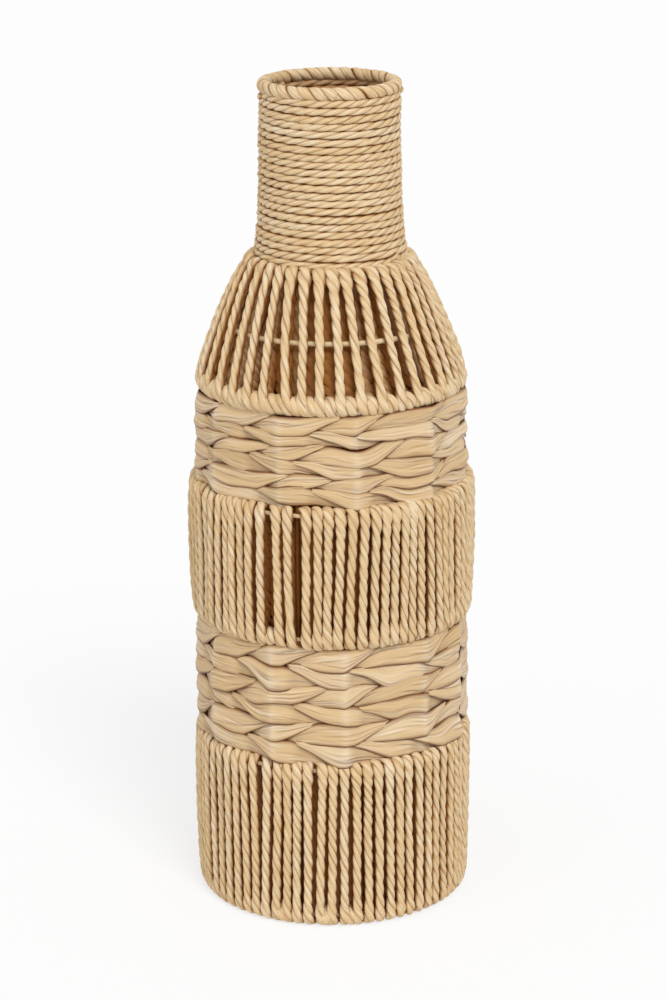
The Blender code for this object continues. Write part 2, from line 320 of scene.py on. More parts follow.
@dataclass(frozen=True)
class CordLay:
    """Three plies laid up to the left, as paper seat cord is."""

    radius: float = 2.3
    lay: float = 23.0
    plies: int = 3
    # Degrees from a ply's crown, share of the radius there and painted shade there; the last is the valley.
    ply_angles: tuple[float, ...] = (-48.0, -25.0, 0.0, 25.0, 48.0, 60.0)
    ply_reach: tuple[float, ...] = (0.84, 0.97, 1.03, 0.97, 0.84, 0.70)
    ply_groove_shade: tuple[float, ...] = (0.22, 0.02, 0.0, 0.02, 0.22, 0.9)
    # Share that the lay drifts by, because it is laid up unevenly, and over what length.
    unevenness: float = 0.16
    uneven_length: float = 30.0
    # The same for its thickness.
    swelling: float = 0.03
    swell_length: float = 9.0
    # Mean and least share of the valleys' shade that is drawn, its drift and over what length.
    valley_share: float = 0.6
    valley_least: float = 0.1
    valley_drift: float = 0.32
    valley_length: float = 11.0
    # Drift of the paper's own shade along the cord.
    tint_drift: float = 0.32
    # How far up the sides the shade between neighbours starts: 0 is half way round, 1 the crown.
    contact: float = 0.46
    # Where that shade ends again on the side that the cord lies on, and where the painted shade of the side
    # turned inwards starts.
    underside: float = -0.8
    inward_shade_start: float = -0.2
    # Over how much of the same scale they come in and go out.
    fade_in: float = 0.4
    fade_out: float = 0.3

    def sweep(
        self,
        path: Array,
        side: Array,
        away: Array,
        rng: np.random.Generator,
        wide: float | Array = 1.0,
        thick: float | Array = 1.0,
        shade: float | Array = 0.0,
        inward_shade: float | Array = 0.0,
        tint_stride: float = 70.0,
    ) -> Shell:
        """Lays the cord along a path.

        Args:
            path: Points along its middle.
            side: A vector at each point that the cord's width lies along.
            away: A vector at each point that looks away from what the cord lies on.
            rng: Seeded random numbers.
            wide: Share of the radius along that vector.
            thick: Share of the radius square to it.
            shade: Painted shade for lying inside the vase, from 0 to 1.
            inward_shade: The same painted shade, for the side that it turns to what it lies on.
            tint_stride: How far its shade keeps before it drifts.

        Returns:
            The closed skin of the cord.
        """
        across, up = section_frame(path, side)
        steps = np.linalg.norm(np.diff(path, axis=0), axis=1)
        travel = np.concatenate([[0.0], np.cumsum(steps)])
        start = rng.uniform(0.0, FULL_TURN)
        rate = (1.0 + wander(rng, travel, self.uneven_length, self.unevenness)) / self.lay
        turn = start - FULL_TURN * np.concatenate([[0.0], np.cumsum(steps * rate[1:])])
        plies = [np.array(self.ply_angles) + 360.0 / self.plies * k for k in range(self.plies)]
        facing = np.radians(np.concatenate(plies))[None, :] + turn[:, None]
        reach = np.tile(self.ply_reach, self.plies) * self.radius
        swell = 1.0 + wander(rng, travel, self.swell_length, self.swelling)
        first = (reach * np.cos(facing) * (swell * wide)[:, None])[:, :, None] * across[:, None, :]
        second = (reach * np.sin(facing) * (swell * thick)[:, None])[:, :, None] * up[:, None, :]
        rings = path[:, None, :] + first + second
        count, sides = rings.shape[:2]
        clear = np.sum(unit(first + second) * away[:, None, :], axis=2)
        # Painted shade where neighbouring cords touch, fading out again towards the underside.
        pressed = np.clip((self.contact - clear) / self.fade_in, 0.0, 1.0)
        pressed = pressed * np.clip((clear - self.underside) / self.fade_out, 0.0, 1.0)
        # Painted shade in the plies' valleys, drawn at a drifting share.
        drawn = self.valley_share + wander(rng, travel, self.valley_length, self.valley_drift)
        drawn = np.clip(drawn, self.valley_least, 1.0)[:, None]
        groove_shade = np.maximum(np.tile(self.ply_groove_shade, self.plies)[None, :] * drawn, pressed)
        tint = np.repeat(wander(rng, travel, tint_stride, self.tint_drift), sides)
        place = np.arange(sides + 1) / sides * FULL_TURN * self.radius
        i, j = np.meshgrid(np.arange(count - 1), np.arange(sides), indexing="ij")
        corners = [np.stack([travel[i + a], place[j + b]], -1) for a, b in ((0, 0), (0, 1), (1, 1), (1, 0))]
        shift = rng.uniform(0.0, 500.0, 2)
        caps = np.array(strip_cap(0, sides, False) + strip_cap((count - 1) * sides, sides, True))
        faces = np.concatenate([grid_faces(count, sides, True), caps])
        spread = np.concatenate([np.stack(corners, axis=2).reshape(-1, 2), np.zeros((caps.size, 2))])
        # Painted shade on the side that the cord turns to what it lies on.
        below = np.clip((self.inward_shade_start - clear) / self.fade_in, 0.0, 1.0)
        below = below * np.broadcast_to(inward_shade, count)[:, None]
        shades = np.maximum(np.broadcast_to(shade, count)[:, None], below)
        uv = (spread + shift) * MILLIMETRE
        return Shell(rings.reshape(-1, 3), faces, uv, tint, groove_shade.reshape(-1), shades.reshape(-1))


def smooth_tube(path: Array, side: Array, radius: float, sides: int, closed: bool) -> Shell:
    """A plain round wire along a path.

    Args:
        path: Points along its middle.
        side: A vector at each point that isn't along the path.
        radius: The wire's radius.
        sides: Points round it.
        closed: Whether its ends join.

    Returns:
        The skin of the wire.
    """
    across, up = section_frame(path, side, closed)
    angles = np.arange(sides) / sides * FULL_TURN
    rings = (
        path[:, None, :]
        + radius * np.cos(angles)[None, :, None] * across[:, None, :]
        + radius * np.sin(angles)[None, :, None] * up[:, None, :]
    )
    count = len(path)
    if closed:
        last = (count - 1) * sides
        j = np.arange(sides)
        k = (j + 1) % sides
        ends = np.stack([last + j, last + k, k, j], -1)
    else:
        ends = np.array(strip_cap(0, sides, False) + strip_cap((count - 1) * sides, sides, True))
    faces = np.concatenate([grid_faces(count, sides, True), ends])
    flat = faces.reshape(-1)
    uv = np.stack([flat // sides, flat % sides], -1) * MILLIMETRE
    none = np.zeros(count * sides)
    return Shell(rings.reshape(-1, 3), faces, uv, none, none, none)


@dataclass(frozen=True)
class KraftPaper:
    """Unbleached kraft paper: straw-coloured, with painted highlights on its ridges and bends, and painted
    shade in its folds and inside the vase.
    """

    name: str
    # Colours of darker, common and paler paper, and where on the scale of its shades each stands; the scale
    # mixes the paper's own tone with painted shade and highlight.
    dark: str
    body: str
    pale: str
    places: tuple[float, float, float]
    # Colours of painted shade: deep in a fold and between neighbours, and on the side that looks into the
    # vase.
    groove_shade_colour: str
    inner: str
    roughness: float
    specular: float
    # Millimetres from crease to crease, and their number along the paper for one across it.
    crease: float
    run: float
    # How strongly the creases stand out, how strongly their height shows as painted shade and highlight, and
    # the mean shade.
    relief: float
    contrast: float
    level: float
    # How strongly the tint shows: the paper's own drifting tone and, on the ribbon, painted highlights.
    drift: float

    def creases(self, tree: Any, place: Any) -> Any:
        """Adds the nodes of the paper's creases.

        Args:
            tree: The node tree.
            place: Socket of the place along and across the paper, in creases.

        Returns:
            The socket of their height.
        """
        raise NotImplementedError

    def material(self) -> Any:
        """Builds the material.

        Returns:
            The material.
        """
        material, output = new_material(self.name)
        tree = material.node_tree
        uv = add_node(tree, "ShaderNodeUVMap", uv_map="along")
        tint = add_node(tree, "ShaderNodeAttribute", attribute_name="tint")
        per_metre = 1000.0 / self.crease
        stretch = add_node(
            tree,
            "ShaderNodeMapping",
            {"Vector": uv.outputs["UV"], "Scale": (per_metre * self.run, per_metre, 1.0)},
        )
        height = self.creases(tree, stretch.outputs[0])
        # The creases' height also sets the colour: painted shade in their lows, painted highlight on their
        # ridges.
        spread = add_node(
            tree,
            "ShaderNodeMath",
            {0: height, 1: self.contrast, 2: self.level},
            operation="MULTIPLY_ADD",
        )
        # The tint adds the paper's own drift and, on the ribbon, painted highlights.
        shade = add_node(
            tree,
            "ShaderNodeMath",
            {0: tint.outputs["Fac"], 1: self.drift, 2: spread.outputs[0]},
            operation="MULTIPLY_ADD",
        )
        ramp = add_node(tree, "ShaderNodeValToRGB", {"Fac": shade.outputs[0]})
        set_ramp(ramp, list(zip(self.places, (self.dark, self.body, self.pale))))
        colour = ramp.outputs["Color"]
        # Painted shade: the groove mark draws the colour towards the fold colour, the shade mark towards the
        # inside colour.
        for name, code in (("groove_shade", self.groove_shade_colour), ("shade", self.inner)):
            mark = add_node(tree, "ShaderNodeAttribute", attribute_name=name)
            mix = add_node(
                tree,
                "ShaderNodeMix",
                {"Factor": mark.outputs["Fac"], 6: colour, 7: linear_colour(code)},
                data_type="RGBA",
            )
            colour = mix.outputs[2]
        bump = add_node(
            tree, "ShaderNodeBump", {"Height": height, "Strength": self.relief, "Distance": 0.0003}
        )
        shader = add_node(
            tree,
            "ShaderNodeBsdfPrincipled",
            {
                "Base Color": colour,
                "Roughness": self.roughness,
                "IOR": 1.45,
                "Specular IOR Level": self.specular,
                "Normal": bump.outputs["Normal"],
            },
        )
        tree.links.new(shader.outputs[0], output.inputs["Surface"])
        return material


@dataclass(frozen=True)
class TwistedPaperCord(KraftPaper):
    """Kraft paper twisted to plies and laid to cord: matt, with a faint polish on the crowns."""

    # Paper takes light softly; painted shade darkens the valleys between the plies, so that the crowns stand
    # paler.
    name: str = "twisted_paper_cord"
    dark: str = "#C9A471"
    body: str = "#DBBF93"
    pale: str = "#E9DAC0"
    places: tuple[float, float, float] = (0.12, 0.5, 0.82)
    # Painted shade colours, for folds and between cords, and for the inside of the vase.
    groove_shade_colour: str = "#8A541F"
    inner: str = "#A5682D"
    roughness: float = 0.62
    specular: float = 0.14
    # Creases in the real paper are 0.3 mm apart; drawn about 0.8 mm so that they show.
    crease: float = 0.8
    run: float = 0.09
    relief: float = 0.55
    contrast: float = 1.5
    level: float = -0.25
    drift: float = 0.16

    def creases(self, tree: Any, place: Any) -> Any:
        """Adds the fine creases that the twist leaves in the plies.

        Args:
            tree: The node tree.
            place: Socket of the place along and across the paper, in creases.

        Returns:
            The socket of their height.
        """
        streaks = add_node(
            tree,
            "ShaderNodeTexNoise",
            {"Vector": place, "Scale": 1.0, "Detail": 3.0, "Roughness": 0.6},
        )
        return streaks.outputs["Fac"]


@dataclass(frozen=True)
class FlatPaperRibbon(KraftPaper):
    """The same paper left flat and gathered by hand: smooth and satin, with a few sharp creases."""

    # The gathers shine softly along their backs, and painted shade darkens the rolled edges.
    name: str = "flat_paper_ribbon"
    dark: str = "#B8905A"
    body: str = "#D3B589"
    pale: str = "#F0E3CE"
    places: tuple[float, float, float] = (0.1, 0.5, 0.9)
    # Painted shade colours, for rolled edges, creases and points, and for the inside of the vase.
    groove_shade_colour: str = "#6E3C12"
    inner: str = "#A5682D"
    roughness: float = 0.46
    specular: float = 0.3
    # Creases in the real ribbon are under 0.5 mm apart; drawn about 0.9 mm so that they show.
    crease: float = 0.9
    run: float = 0.06
    relief: float = 0.25
    contrast: float = 0.3
    level: float = 0.2
    drift: float = 0.14

    def creases(self, tree: Any, place: Any) -> Any:
        """Adds fine creases and, three times as far apart, broad ones.

        Args:
            tree: The node tree.
            place: Socket of the place along and across the paper, in creases.

        Returns:
            The socket of their height.
        """
        fine = add_node(
            tree,
            "ShaderNodeTexNoise",
            {"Vector": place, "Scale": 1.0, "Detail": 4.0, "Roughness": 0.62},
        )
        broad = add_node(
            tree,
            "ShaderNodeTexNoise",
            {"Vector": place, "Scale": 0.3, "Detail": 2.0, "Roughness": 0.5},
        )
        both = add_node(
            tree, "ShaderNodeMath", {0: fine.outputs["Fac"], 1: broad.outputs["Fac"]}, operation="ADD"
        )
        return both.outputs[0]


@dataclass(frozen=True)
class PowderCoatedWire:
    """Steel wire under a cream powder coat: smooth, faintly orange-peeled, satin."""

    # A thin coat rounds off every highlight and wears a shade darker in patches.
    name: str = "powder_coated_wire"
    coat: str = "#E6CFA3"
    wear_and_highlight: str = "#D3B681"
    roughness: float = 0.42
    specular: float = 0.5
    # Orange peel of a powder coat is about 0.8 mm across, and the worn patches about 17 mm.
    peel: float = 0.8
    patch: float = 1000.0 / 60.0

    def material(self) -> Any:
        """Builds the material.

        Returns:
            The material.
        """
        material, output = new_material(self.name)
        tree = material.node_tree
        place = add_node(tree, "ShaderNodeTexCoord").outputs["Object"]
        peel = add_node(
            tree, "ShaderNodeTexNoise", {"Vector": place, "Scale": 1000.0 / self.peel, "Detail": 1.0}
        )
        patches = add_node(
            tree, "ShaderNodeTexNoise", {"Vector": place, "Scale": 1000.0 / self.patch, "Detail": 2.0}
        )
        ramp = add_node(tree, "ShaderNodeValToRGB", {"Fac": patches.outputs["Fac"]})
        set_ramp(ramp, ((0.35, self.wear_and_highlight), (0.6, self.coat)))
        bump = add_node(
            tree,
            "ShaderNodeBump",
            {"Height": peel.outputs["Fac"], "Strength": 0.15, "Distance": 0.0002},
        )
        shader = add_node(
            tree,
            "ShaderNodeBsdfPrincipled",
            {
                "Base Color": ramp.outputs["Color"],
                "Roughness": self.roughness,
                "IOR": 1.5,
                "Specular IOR Level": self.specular,
                "Normal": bump.outputs["Normal"],
            },
        )
        tree.links.new(shader.outputs[0], output.inputs["Surface"])
        return material


@dataclass(frozen=True)
class Ring:
    """A wire ring: radius and height of its middle line, and the node it stands for."""

    radius: float
    height: float
    node: str


BASE = Ring(71.3, 5.8, "base_ring")
SKIRT_TOP = Ring(72.6, 92.5, "skirt_top_ring")
BELLY_BOTTOM = Ring(73.0, 168.6, "belly_bottom_ring")
BELLY_TOP = Ring(74.0, 239.0, "belly_top_ring")
SHOULDER = Ring(69.4, 298.5, "shoulder_ring")
HOOP = Ring(57.6, 330.0, "shoulder_hoop")
NECK = Ring(42.5, 362.4, "neck_ring")
MOUTH = Ring(35.2, 460.0, "mouth_ring")


@dataclass
class WireFrame:
    """Eight rings and twelve stays welded inside them, with two crossed bars under the base."""

    material: Any
    # The stays' coat is drawn duller and browner than the rings': painted shade, so that they read as the
    # shaded gaps they show through.
    stay_material: Any
    radius: float = 1.2
    # The hoop is of thicker wire than the rest.
    hoop_radius: float = 1.5
    rings: tuple[Ring, ...] = (BASE, SKIRT_TOP, BELLY_BOTTOM, BELLY_TOP, SHOULDER, HOOP, NECK, MOUTH)
    stays: int = 12
    first_stay: float = 15.0
    # Radius and height of a stay inside the neck winding, above the neck ring.
    neck_line: tuple[tuple[float, float], ...] = (
        (36.6, 369.0), (35.0, 376.5), (34.2, 388.0), (33.3, 402.0), (32.5, 452.0)
    )
    ring_steps: int = 180
    wire_sides: int = 12
    # How far from a corner a stay's bend starts, and the points along the bend.
    bend: float = 2.0
    bend_steps: int = 5

    def stay_line(self) -> tuple[Array, Array]:
        """Radius and height along one stay, with its bends rounded.

        Returns:
            The radii and the heights.
        """
        welds = [(ring.radius - 2 * self.radius, ring.height) for ring in self.rings[:-1]]
        corners = np.array(welds + list(self.neck_line))
        line = [corners[0]]
        for before, here, after in zip(corners[:-2], corners[1:-1], corners[2:]):
            start = here + unit(before - here) * self.bend
            end = here + unit(after - here) * self.bend
            for share in np.linspace(0.0, 1.0, self.bend_steps):
                line.append(start * (1 - share) ** 2 + here * 2 * share * (1 - share) + end * share**2)
        line.append(corners[-1])
        radii, heights = np.array(line).T
        return radii, heights

    def build(self) -> None:
        """Builds each ring and stay as its own piece."""
        turn = np.arange(self.ring_steps) / self.ring_steps * FULL_TURN
        for ring in self.rings:
            path = around(ring.radius, turn, ring.height)
            piece = Piece(f"wire_{ring.node}", Slot.WIRE, self.material, [ring.node])
            radius = self.hoop_radius if ring is HOOP else self.radius
            piece.shells.append(smooth_tube(path, outward(turn), radius, self.wire_sides, True))
            piece.make()
        radii, heights = self.stay_line()
        for number in range(self.stays):
            angle = np.full(len(radii), math.radians(self.first_stay + 360.0 / self.stays * number))
            node = f"stay_{number + 1:02d}"
            piece = Piece(f"wire_{node}", Slot.WIRE, self.stay_material, [node])
            path = around(radii, angle, heights)
            piece.shells.append(smooth_tube(path, sideways(angle), self.radius, self.wire_sides, False))
            piece.make()
        for node in ("base_bar_lower", "base_bar_upper"):
            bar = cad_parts[node]
            bar.data.materials.clear()
            bar.data.materials.append(self.material)


@dataclass
class Course:
    """The stretches of one cord's route, in the order in which the cord runs."""

    stretches: list[Array] = field(default_factory=list)

    def add(
        self,
        loop: int,
        radius: Array,
        turn: Array,
        height: Array,
        kind: float | Array,
        look: float | Array,
        spread: float | Array = 0.0,
    ) -> None:
        """Adds one stretch.

        Args:
            loop: The loop's number.
            radius: Distance of each point from the axis.
            turn: Its angle from the front in degrees.
            height: Its height above the floor.
            kind: 0 on an outer run, 1 on a fold, 2 on an inner run, or between two of them.
            look: Turn round the ring to the side that looks away from what the cord lies on.
            spread: How much wider the cord lies there.
        """
        rows = np.broadcast_arrays(radius, turn, height, float(loop), kind, look, spread)
        self.stretches.append(np.stack(rows))

    def joined(self) -> Array:
        """The whole route: a row for each measure, a column for each point."""
        return np.concatenate(self.stretches, axis=1)


@dataclass
class Lacing:
    """Cord laced round and round between two rings: down outside, under, and up inside."""

    name: str
    node: str
    material: Any
    upper: Ring
    lower: Ring
    # Degrees of each cord seen from the front, at the upper ring, half way and the lower ring.
    upper_angles: tuple[float, ...]
    middle_angles: tuple[float, ...]
    lower_angles: tuple[float, ...]
    # Mean degrees from cord to cord round the rest of the vase.
    pitch: float
    seed: int
    # Share of the pitch that a cord drifts by there, as a whole and at each of the three heights.
    pitch_drift: float = 0.09
    pitch_lean: float = 0.05
    # Radius and height of the outer run's middle between the folds.
    profile: tuple[tuple[float, float], ...] = ()
    # Room along the lower ring that one turn of cord fills, and the share that one can do without.
    room: float = 5.1
    room_share: float = 0.3
    # Degrees of gaps where one more turn is squeezed in round the lower ring.
    squeezed: tuple[float, ...] = ()
    # Distance of a fold's and of an inner run's middle line from its ring's.
    fold: float = 3.5
    inner_reach: float = 5.9
    # Share of an inner run over which it moves between the two, and to the middle of its gap.
    inner_bend: float = 0.125
    inner_shift: float = 0.12
    # Half the turn over which a fold crosses the outside, and the share of a gap that it moves on.
    crossing: float = 0.9
    crossing_share: float = 0.12
    # Share of the gap behind a cord at which it comes up to the upper ring, and leaves the lower one.
    arrival: float = 0.45
    leaving: float = 0.5
    # How far an outer run stands out, how far it drifts sideways and over what length, and how
    # far the inner runs' depth varies.
    lift: float = 0.35
    sway: float = 0.17
    sway_length: float = 18.0
    inner_drift: float = 0.15
    # How much wider the cord is pressed where it folds over a ring, and how much of that it thins by.
    press: float = 0.32
    thinning: float = 0.4
    # Least and most that an inner run spreads to meet its neighbours, and how far it laps over them.
    inner_least: float = 0.2
    inner_press: float = 1.1
    inner_lap: float = 1.14
    # How far the ends of an outer run still belong to the folds, from the ring on.
    settling: tuple[float, ...] = (1.0, 1.0, 0.8, 0.4)
    # Where its cosine is below the first of these, a fold is this much of an inner run already.
    inner_from: float = -0.75
    inner_end: float = 1.6
    # Share of the inner runs with less painted shade, nearly as pale as the outer ones, and the share of
    # painted shade given to those and to the rest.
    lighter_share: float = 0.22
    lighter_shade: tuple[float, float] = (0.3, 0.66)
    full_shade: tuple[float, float] = (0.86, 1.0)
    # Most painted shade on the side that an outer run turns to the inside of the vase.
    inward_shade: float = 0.9
    # Points over which a run passes into a fold.
    blend: int = 5
    cord: CordLay = CordLay()
    outer_step: float = 1.5
    inner_step: float = 3.5
    # A wall is made as two pieces with these letters after its name.
    halves: str = "ab"

    def angles(self, rng: np.random.Generator) -> Array:
        """Angle of each cord at three heights, the seen ones as measured and the rest at their pitch.

        Args:
            rng: Seeded random numbers.

        Returns:
            One row per cord: upper, middle and lower angle in degrees.
        """
        seen = np.stack([self.upper_angles, self.middle_angles, self.lower_angles], axis=1)
        room = 360.0 - (seen[-1] - seen[0])
        count = round(float(room.mean()) / self.pitch)
        rest = seen[-1] + np.arange(1, count)[:, None] / count * room
        drift = rng.normal(0.0, self.pitch_drift, (count - 1, 1)) * self.pitch
        lean = rng.normal(0.0, self.pitch_lean, (count - 1, 3)) * self.pitch
        return np.concatenate([seen, rest + drift + lean])

    def outer_line(self, steps: int) -> tuple[Array, Array, Array]:
        """Middle line of the outer run from the upper fold to the lower one.

        Args:
            steps: How many points.

        Returns:
            Share of the way, radius and height.
        """
        ends = [(ring.radius + self.fold, ring.height) for ring in (self.upper, self.lower)]
        knots = np.array([ends[0], *self.profile, ends[1]])
        travel = np.concatenate([[0.0], np.cumsum(np.linalg.norm(np.diff(knots, axis=0), axis=1))])
        fine = np.interp(np.linspace(0, travel[-1], 8 * steps), travel, np.arange(len(knots)))
        low = np.clip(fine.astype(int), 0, len(knots) - 2)
        part = (fine - low)[:, None]
        line = knots[low] * (1 - part) + knots[low + 1] * part
        # A running mean rounds the knots as a taut cord would.
        width = max(3, len(line) // 6) | 1
        padded = np.pad(line, ((width // 2, width // 2), (0, 0)), mode="reflect", reflect_type="odd")
        kernel = np.ones(width) / width
        smooth = np.stack([np.convolve(padded[:, i], kernel, mode="valid") for i in range(2)], axis=1)
        pick = np.linspace(0, len(smooth) - 1, steps).round().astype(int)
        return np.linspace(0.0, 1.0, steps), smooth[pick, 0], smooth[pick, 1]

    def coils(self, start: float, gap: float) -> int:
        """Extra turns of cord that fill a gap along the lower ring.

        Args:
            start: Degrees at which the gap starts.
            gap: The gap in degrees.

        Returns:
            How many turns, not counting the fold itself.
        """
        turns = int(math.radians(gap) * (self.lower.radius + self.fold) / self.room + self.room_share)
        squeezed = any(start < place < start + gap for place in self.squeezed)
        return max(1 if squeezed else 0, turns - 1)

    def stairs(self, phi: Array, stops: Sequence[float]) -> Array:
        """Angle along a coil that crosses the outside nearly upright and moves on inside.

        Args:
            phi: Turn round the ring; nought, a full turn and so on are outside.
            stops: Angle at each outside crossing from phi nought outwards, then at the inner end.

        Returns:
            The angle at each point.
        """
        places, values = [], []
        for k, stop in enumerate(stops[:-1]):
            towards = (stops[k + 1] - stop) * self.crossing_share
            places += [FULL_TURN * k - self.crossing, FULL_TURN * k + self.crossing]
            values += [stop - towards, stop + towards]
        values[0] = stops[0]
        places.append(FULL_TURN * (len(stops) - 2) + math.pi)
        values.append(stops[-1])
        return np.interp(phi, places, values)

    def fold_round(self, course: Course, loop: int, ring: Ring, phi: Array, stops: Sequence[float]) -> None:
        """Adds the cord's way round a ring.

        Args:
            course: The route so far.
            loop: The loop's number.
            ring: The ring.
            phi: Turn round the ring at each point; nought is outside, and it grows upwards.
            stops: Degrees of each outside crossing, then of the inner end.
        """
        radius = ring.radius + self.fold * np.cos(phi)
        height = ring.height + self.fold * np.sin(phi)
        kind = np.where(np.cos(phi) < self.inner_from, self.inner_end, 1.0)
        course.add(loop, radius, self.stairs(np.abs(phi), stops), height, kind, phi)

    def run_down(self, course: Course, loop: int, here: Array, run: float, rng: np.random.Generator) -> None:
        """Adds an outer run.

        Args:
            course: The route so far.
            loop: The loop's number.
            here: The cord's degrees at the upper ring, half way and the lower ring.
            run: Distance between the rings.
            rng: Seeded random numbers.
        """
        steps = int(run / self.outer_step)
        share, radius, height = self.outer_line(steps)
        bulge = np.sin(math.pi * share)
        lift = self.lift * bulge * rng.normal(0.0, 1.0)
        high = here[0] * (1 - share) * (1 - 2 * share)
        middle = here[1] * 4 * share * (1 - share)
        bend = high + middle - here[2] * share * (1 - 2 * share)
        sway = wander(rng, share * run, self.sway_length, self.sway) * bulge / radius * DEGREES
        ends = 2 * len(self.settling)
        kind = np.concatenate([self.settling, np.zeros(steps - 2 - ends), self.settling[::-1]])
        inside = slice(1, -1)
        course.add(loop, (radius + lift)[inside], (bend + sway)[inside], height[inside], kind, 0.0)

    def run_up(
        self, course: Course, loop: int, cords: Array, leave: float, run: float, rng: np.random.Generator
    ) -> None:
        """Adds an inner run, which passes the stays and spreads to meet its neighbours.

        Args:
            course: The route so far.
            loop: The loop's number.
            cords: Degrees of this cord and the next two, a row each as in angles.
            leave: Degrees at which it leaves the lower ring.
            run: Distance between the rings.
            rng: Seeded random numbers.
        """
        here, after, later = cords
        gap = after - here
        climb = np.linspace(0.0, 1.0, int(run / self.inner_step))
        bent = np.clip(np.minimum(climb, 1 - climb) / self.inner_bend, 0, 1)
        ring_radius = np.interp(climb, [0, 1], [self.lower.radius, self.upper.radius])
        height = np.interp(climb, [0, 1], [self.lower.height, self.upper.height])
        radius = ring_radius - self.fold - (self.inner_reach - self.fold) * bent
        radius = radius + rng.normal(0.0, self.inner_drift)
        stops = [leave, here[2] + gap[2] / 2, after[0] - gap[0] / 2, after[0] - gap[0] * self.arrival]
        turn = np.interp(climb, [0, self.inner_shift, 1 - self.inner_shift, 1], stops)
        room = np.radians(np.maximum(gap, later - after))[::-1] * (self.upper.radius + self.lower.radius) / 2
        across = self.inner_lap * np.interp(climb, [0, 0.5, 1], room) * ring_radius / ring_radius.mean()
        spread = np.clip(across / (2 * self.cord.radius) - 1.0, self.inner_least, self.inner_press)
        inside = slice(1, -1)
        course.add(loop, radius[inside], turn[inside], height[inside], 2.0, math.pi, spread[inside])

    def course(self, angles: Array, rng: np.random.Generator) -> Array:
        """The whole cord's route.

        Args:
            angles: Angles of each cord in degrees, one row per cord.
            rng: Seeded random numbers.

        Returns:
            Rows of radius, turn, height, loop, kind, look and spread, as Course.add gives them.
        """
        course = Course()
        count = len(angles)
        run = math.hypot(self.upper.radius - self.lower.radius, self.upper.height - self.lower.height)
        steps = max(6, int(math.pi * self.fold / self.outer_step))
        for k in range(count):
            cords = np.stack([angles[n % count] + 360.0 * (n // count) for n in range(k - 1, k + 3)])
            before, here, after = cords[:3]
            # Over the upper ring.
            arrive = here[0] - (here[0] - before[0]) * self.arrival
            self.fold_round(course, k, self.upper, np.linspace(math.pi, 0.0, steps), [here[0], arrive])
            self.run_down(course, k, here, run, rng)
            # Under the lower ring, and round it again where there is room to fill.
            gap = after[2] - here[2]
            coils = self.coils(here[2], gap)
            stops = [here[2] + gap * c / (coils + 1) for c in range(coils + 1)]
            stops.append(here[2] + gap * (coils + self.leaving) / (coils + 1))
            turns = 1 + 2 * coils
            self.fold_round(course, k, self.lower, np.linspace(0.0, -math.pi * turns, steps * turns), stops)
            self.run_up(course, k, cords[1:], stops[-1], run, rng)
        return course.joined()

    def build(self) -> None:
        """Builds the lacing as two pieces, one after the other round the vase."""
        rng = np.random.default_rng(self.seed)
        angles = self.angles(rng)
        count = len(angles)
        radius, turn, height, loops, kinds, looks, spreads = self.course(angles, rng)
        angle = np.radians(turn)
        points = around(radius, angle, height)
        look = looks[:, None]
        away = np.cos(look) * outward(angle) + np.sin(look) * UPWARD
        # The inner ends of the folds spread as the runs that they lead to.
        inner = np.nonzero(spreads > 0)[0]
        spreads = np.interp(np.arange(len(spreads)), inner, spreads[inner])
        # The change from run to fold is spread over a few points.
        kinds = np.pad(kinds, self.blend // 2, mode="edge")
        kinds = np.convolve(kinds, np.ones(self.blend) / self.blend, mode="valid")
        folded = np.clip(1.0 - np.abs(kinds - 1.0), 0.0, 1.0)
        inside = np.clip(kinds - 1.0, 0.0, 1.0)
        wide = 1.0 + self.press * folded + spreads * inside
        thick = 1.0 - self.thinning * self.press * folded
        # Painted shade on the inner runs, less on a few of them, and on the side of each outer run that
        # faces into the vase.
        lighter = rng.random(count) < self.lighter_share
        inner_shade = rng.uniform(*self.lighter_shade, count)
        inside_shade = np.where(lighter, inner_shade, rng.uniform(*self.full_shade, count))[loops.astype(int)]
        shade = inside * inside_shade
        inward_shade = self.inward_shade * inside_shade**2
        for number, letter in enumerate(self.halves):
            low, high = (count * n // len(self.halves) for n in (number, number + 1))
            chosen = np.nonzero((loops >= low) & (loops < high))[0]
            span = slice(chosen[0], min(chosen[-1] + 2, len(points)))
            piece = Piece(f"{self.name}_{letter}", Slot.CORD, self.material, [self.node])
            piece.shells.append(
                self.cord.sweep(
                    points[span],
                    sideways(angle[span]),
                    away[span],
                    rng,
                    wide[span],
                    thick[span],
                    shade[span],
                    inward_shade[span],
                )
            )
            piece.make()
        LOG.info("%s: %d loops", self.name, count)


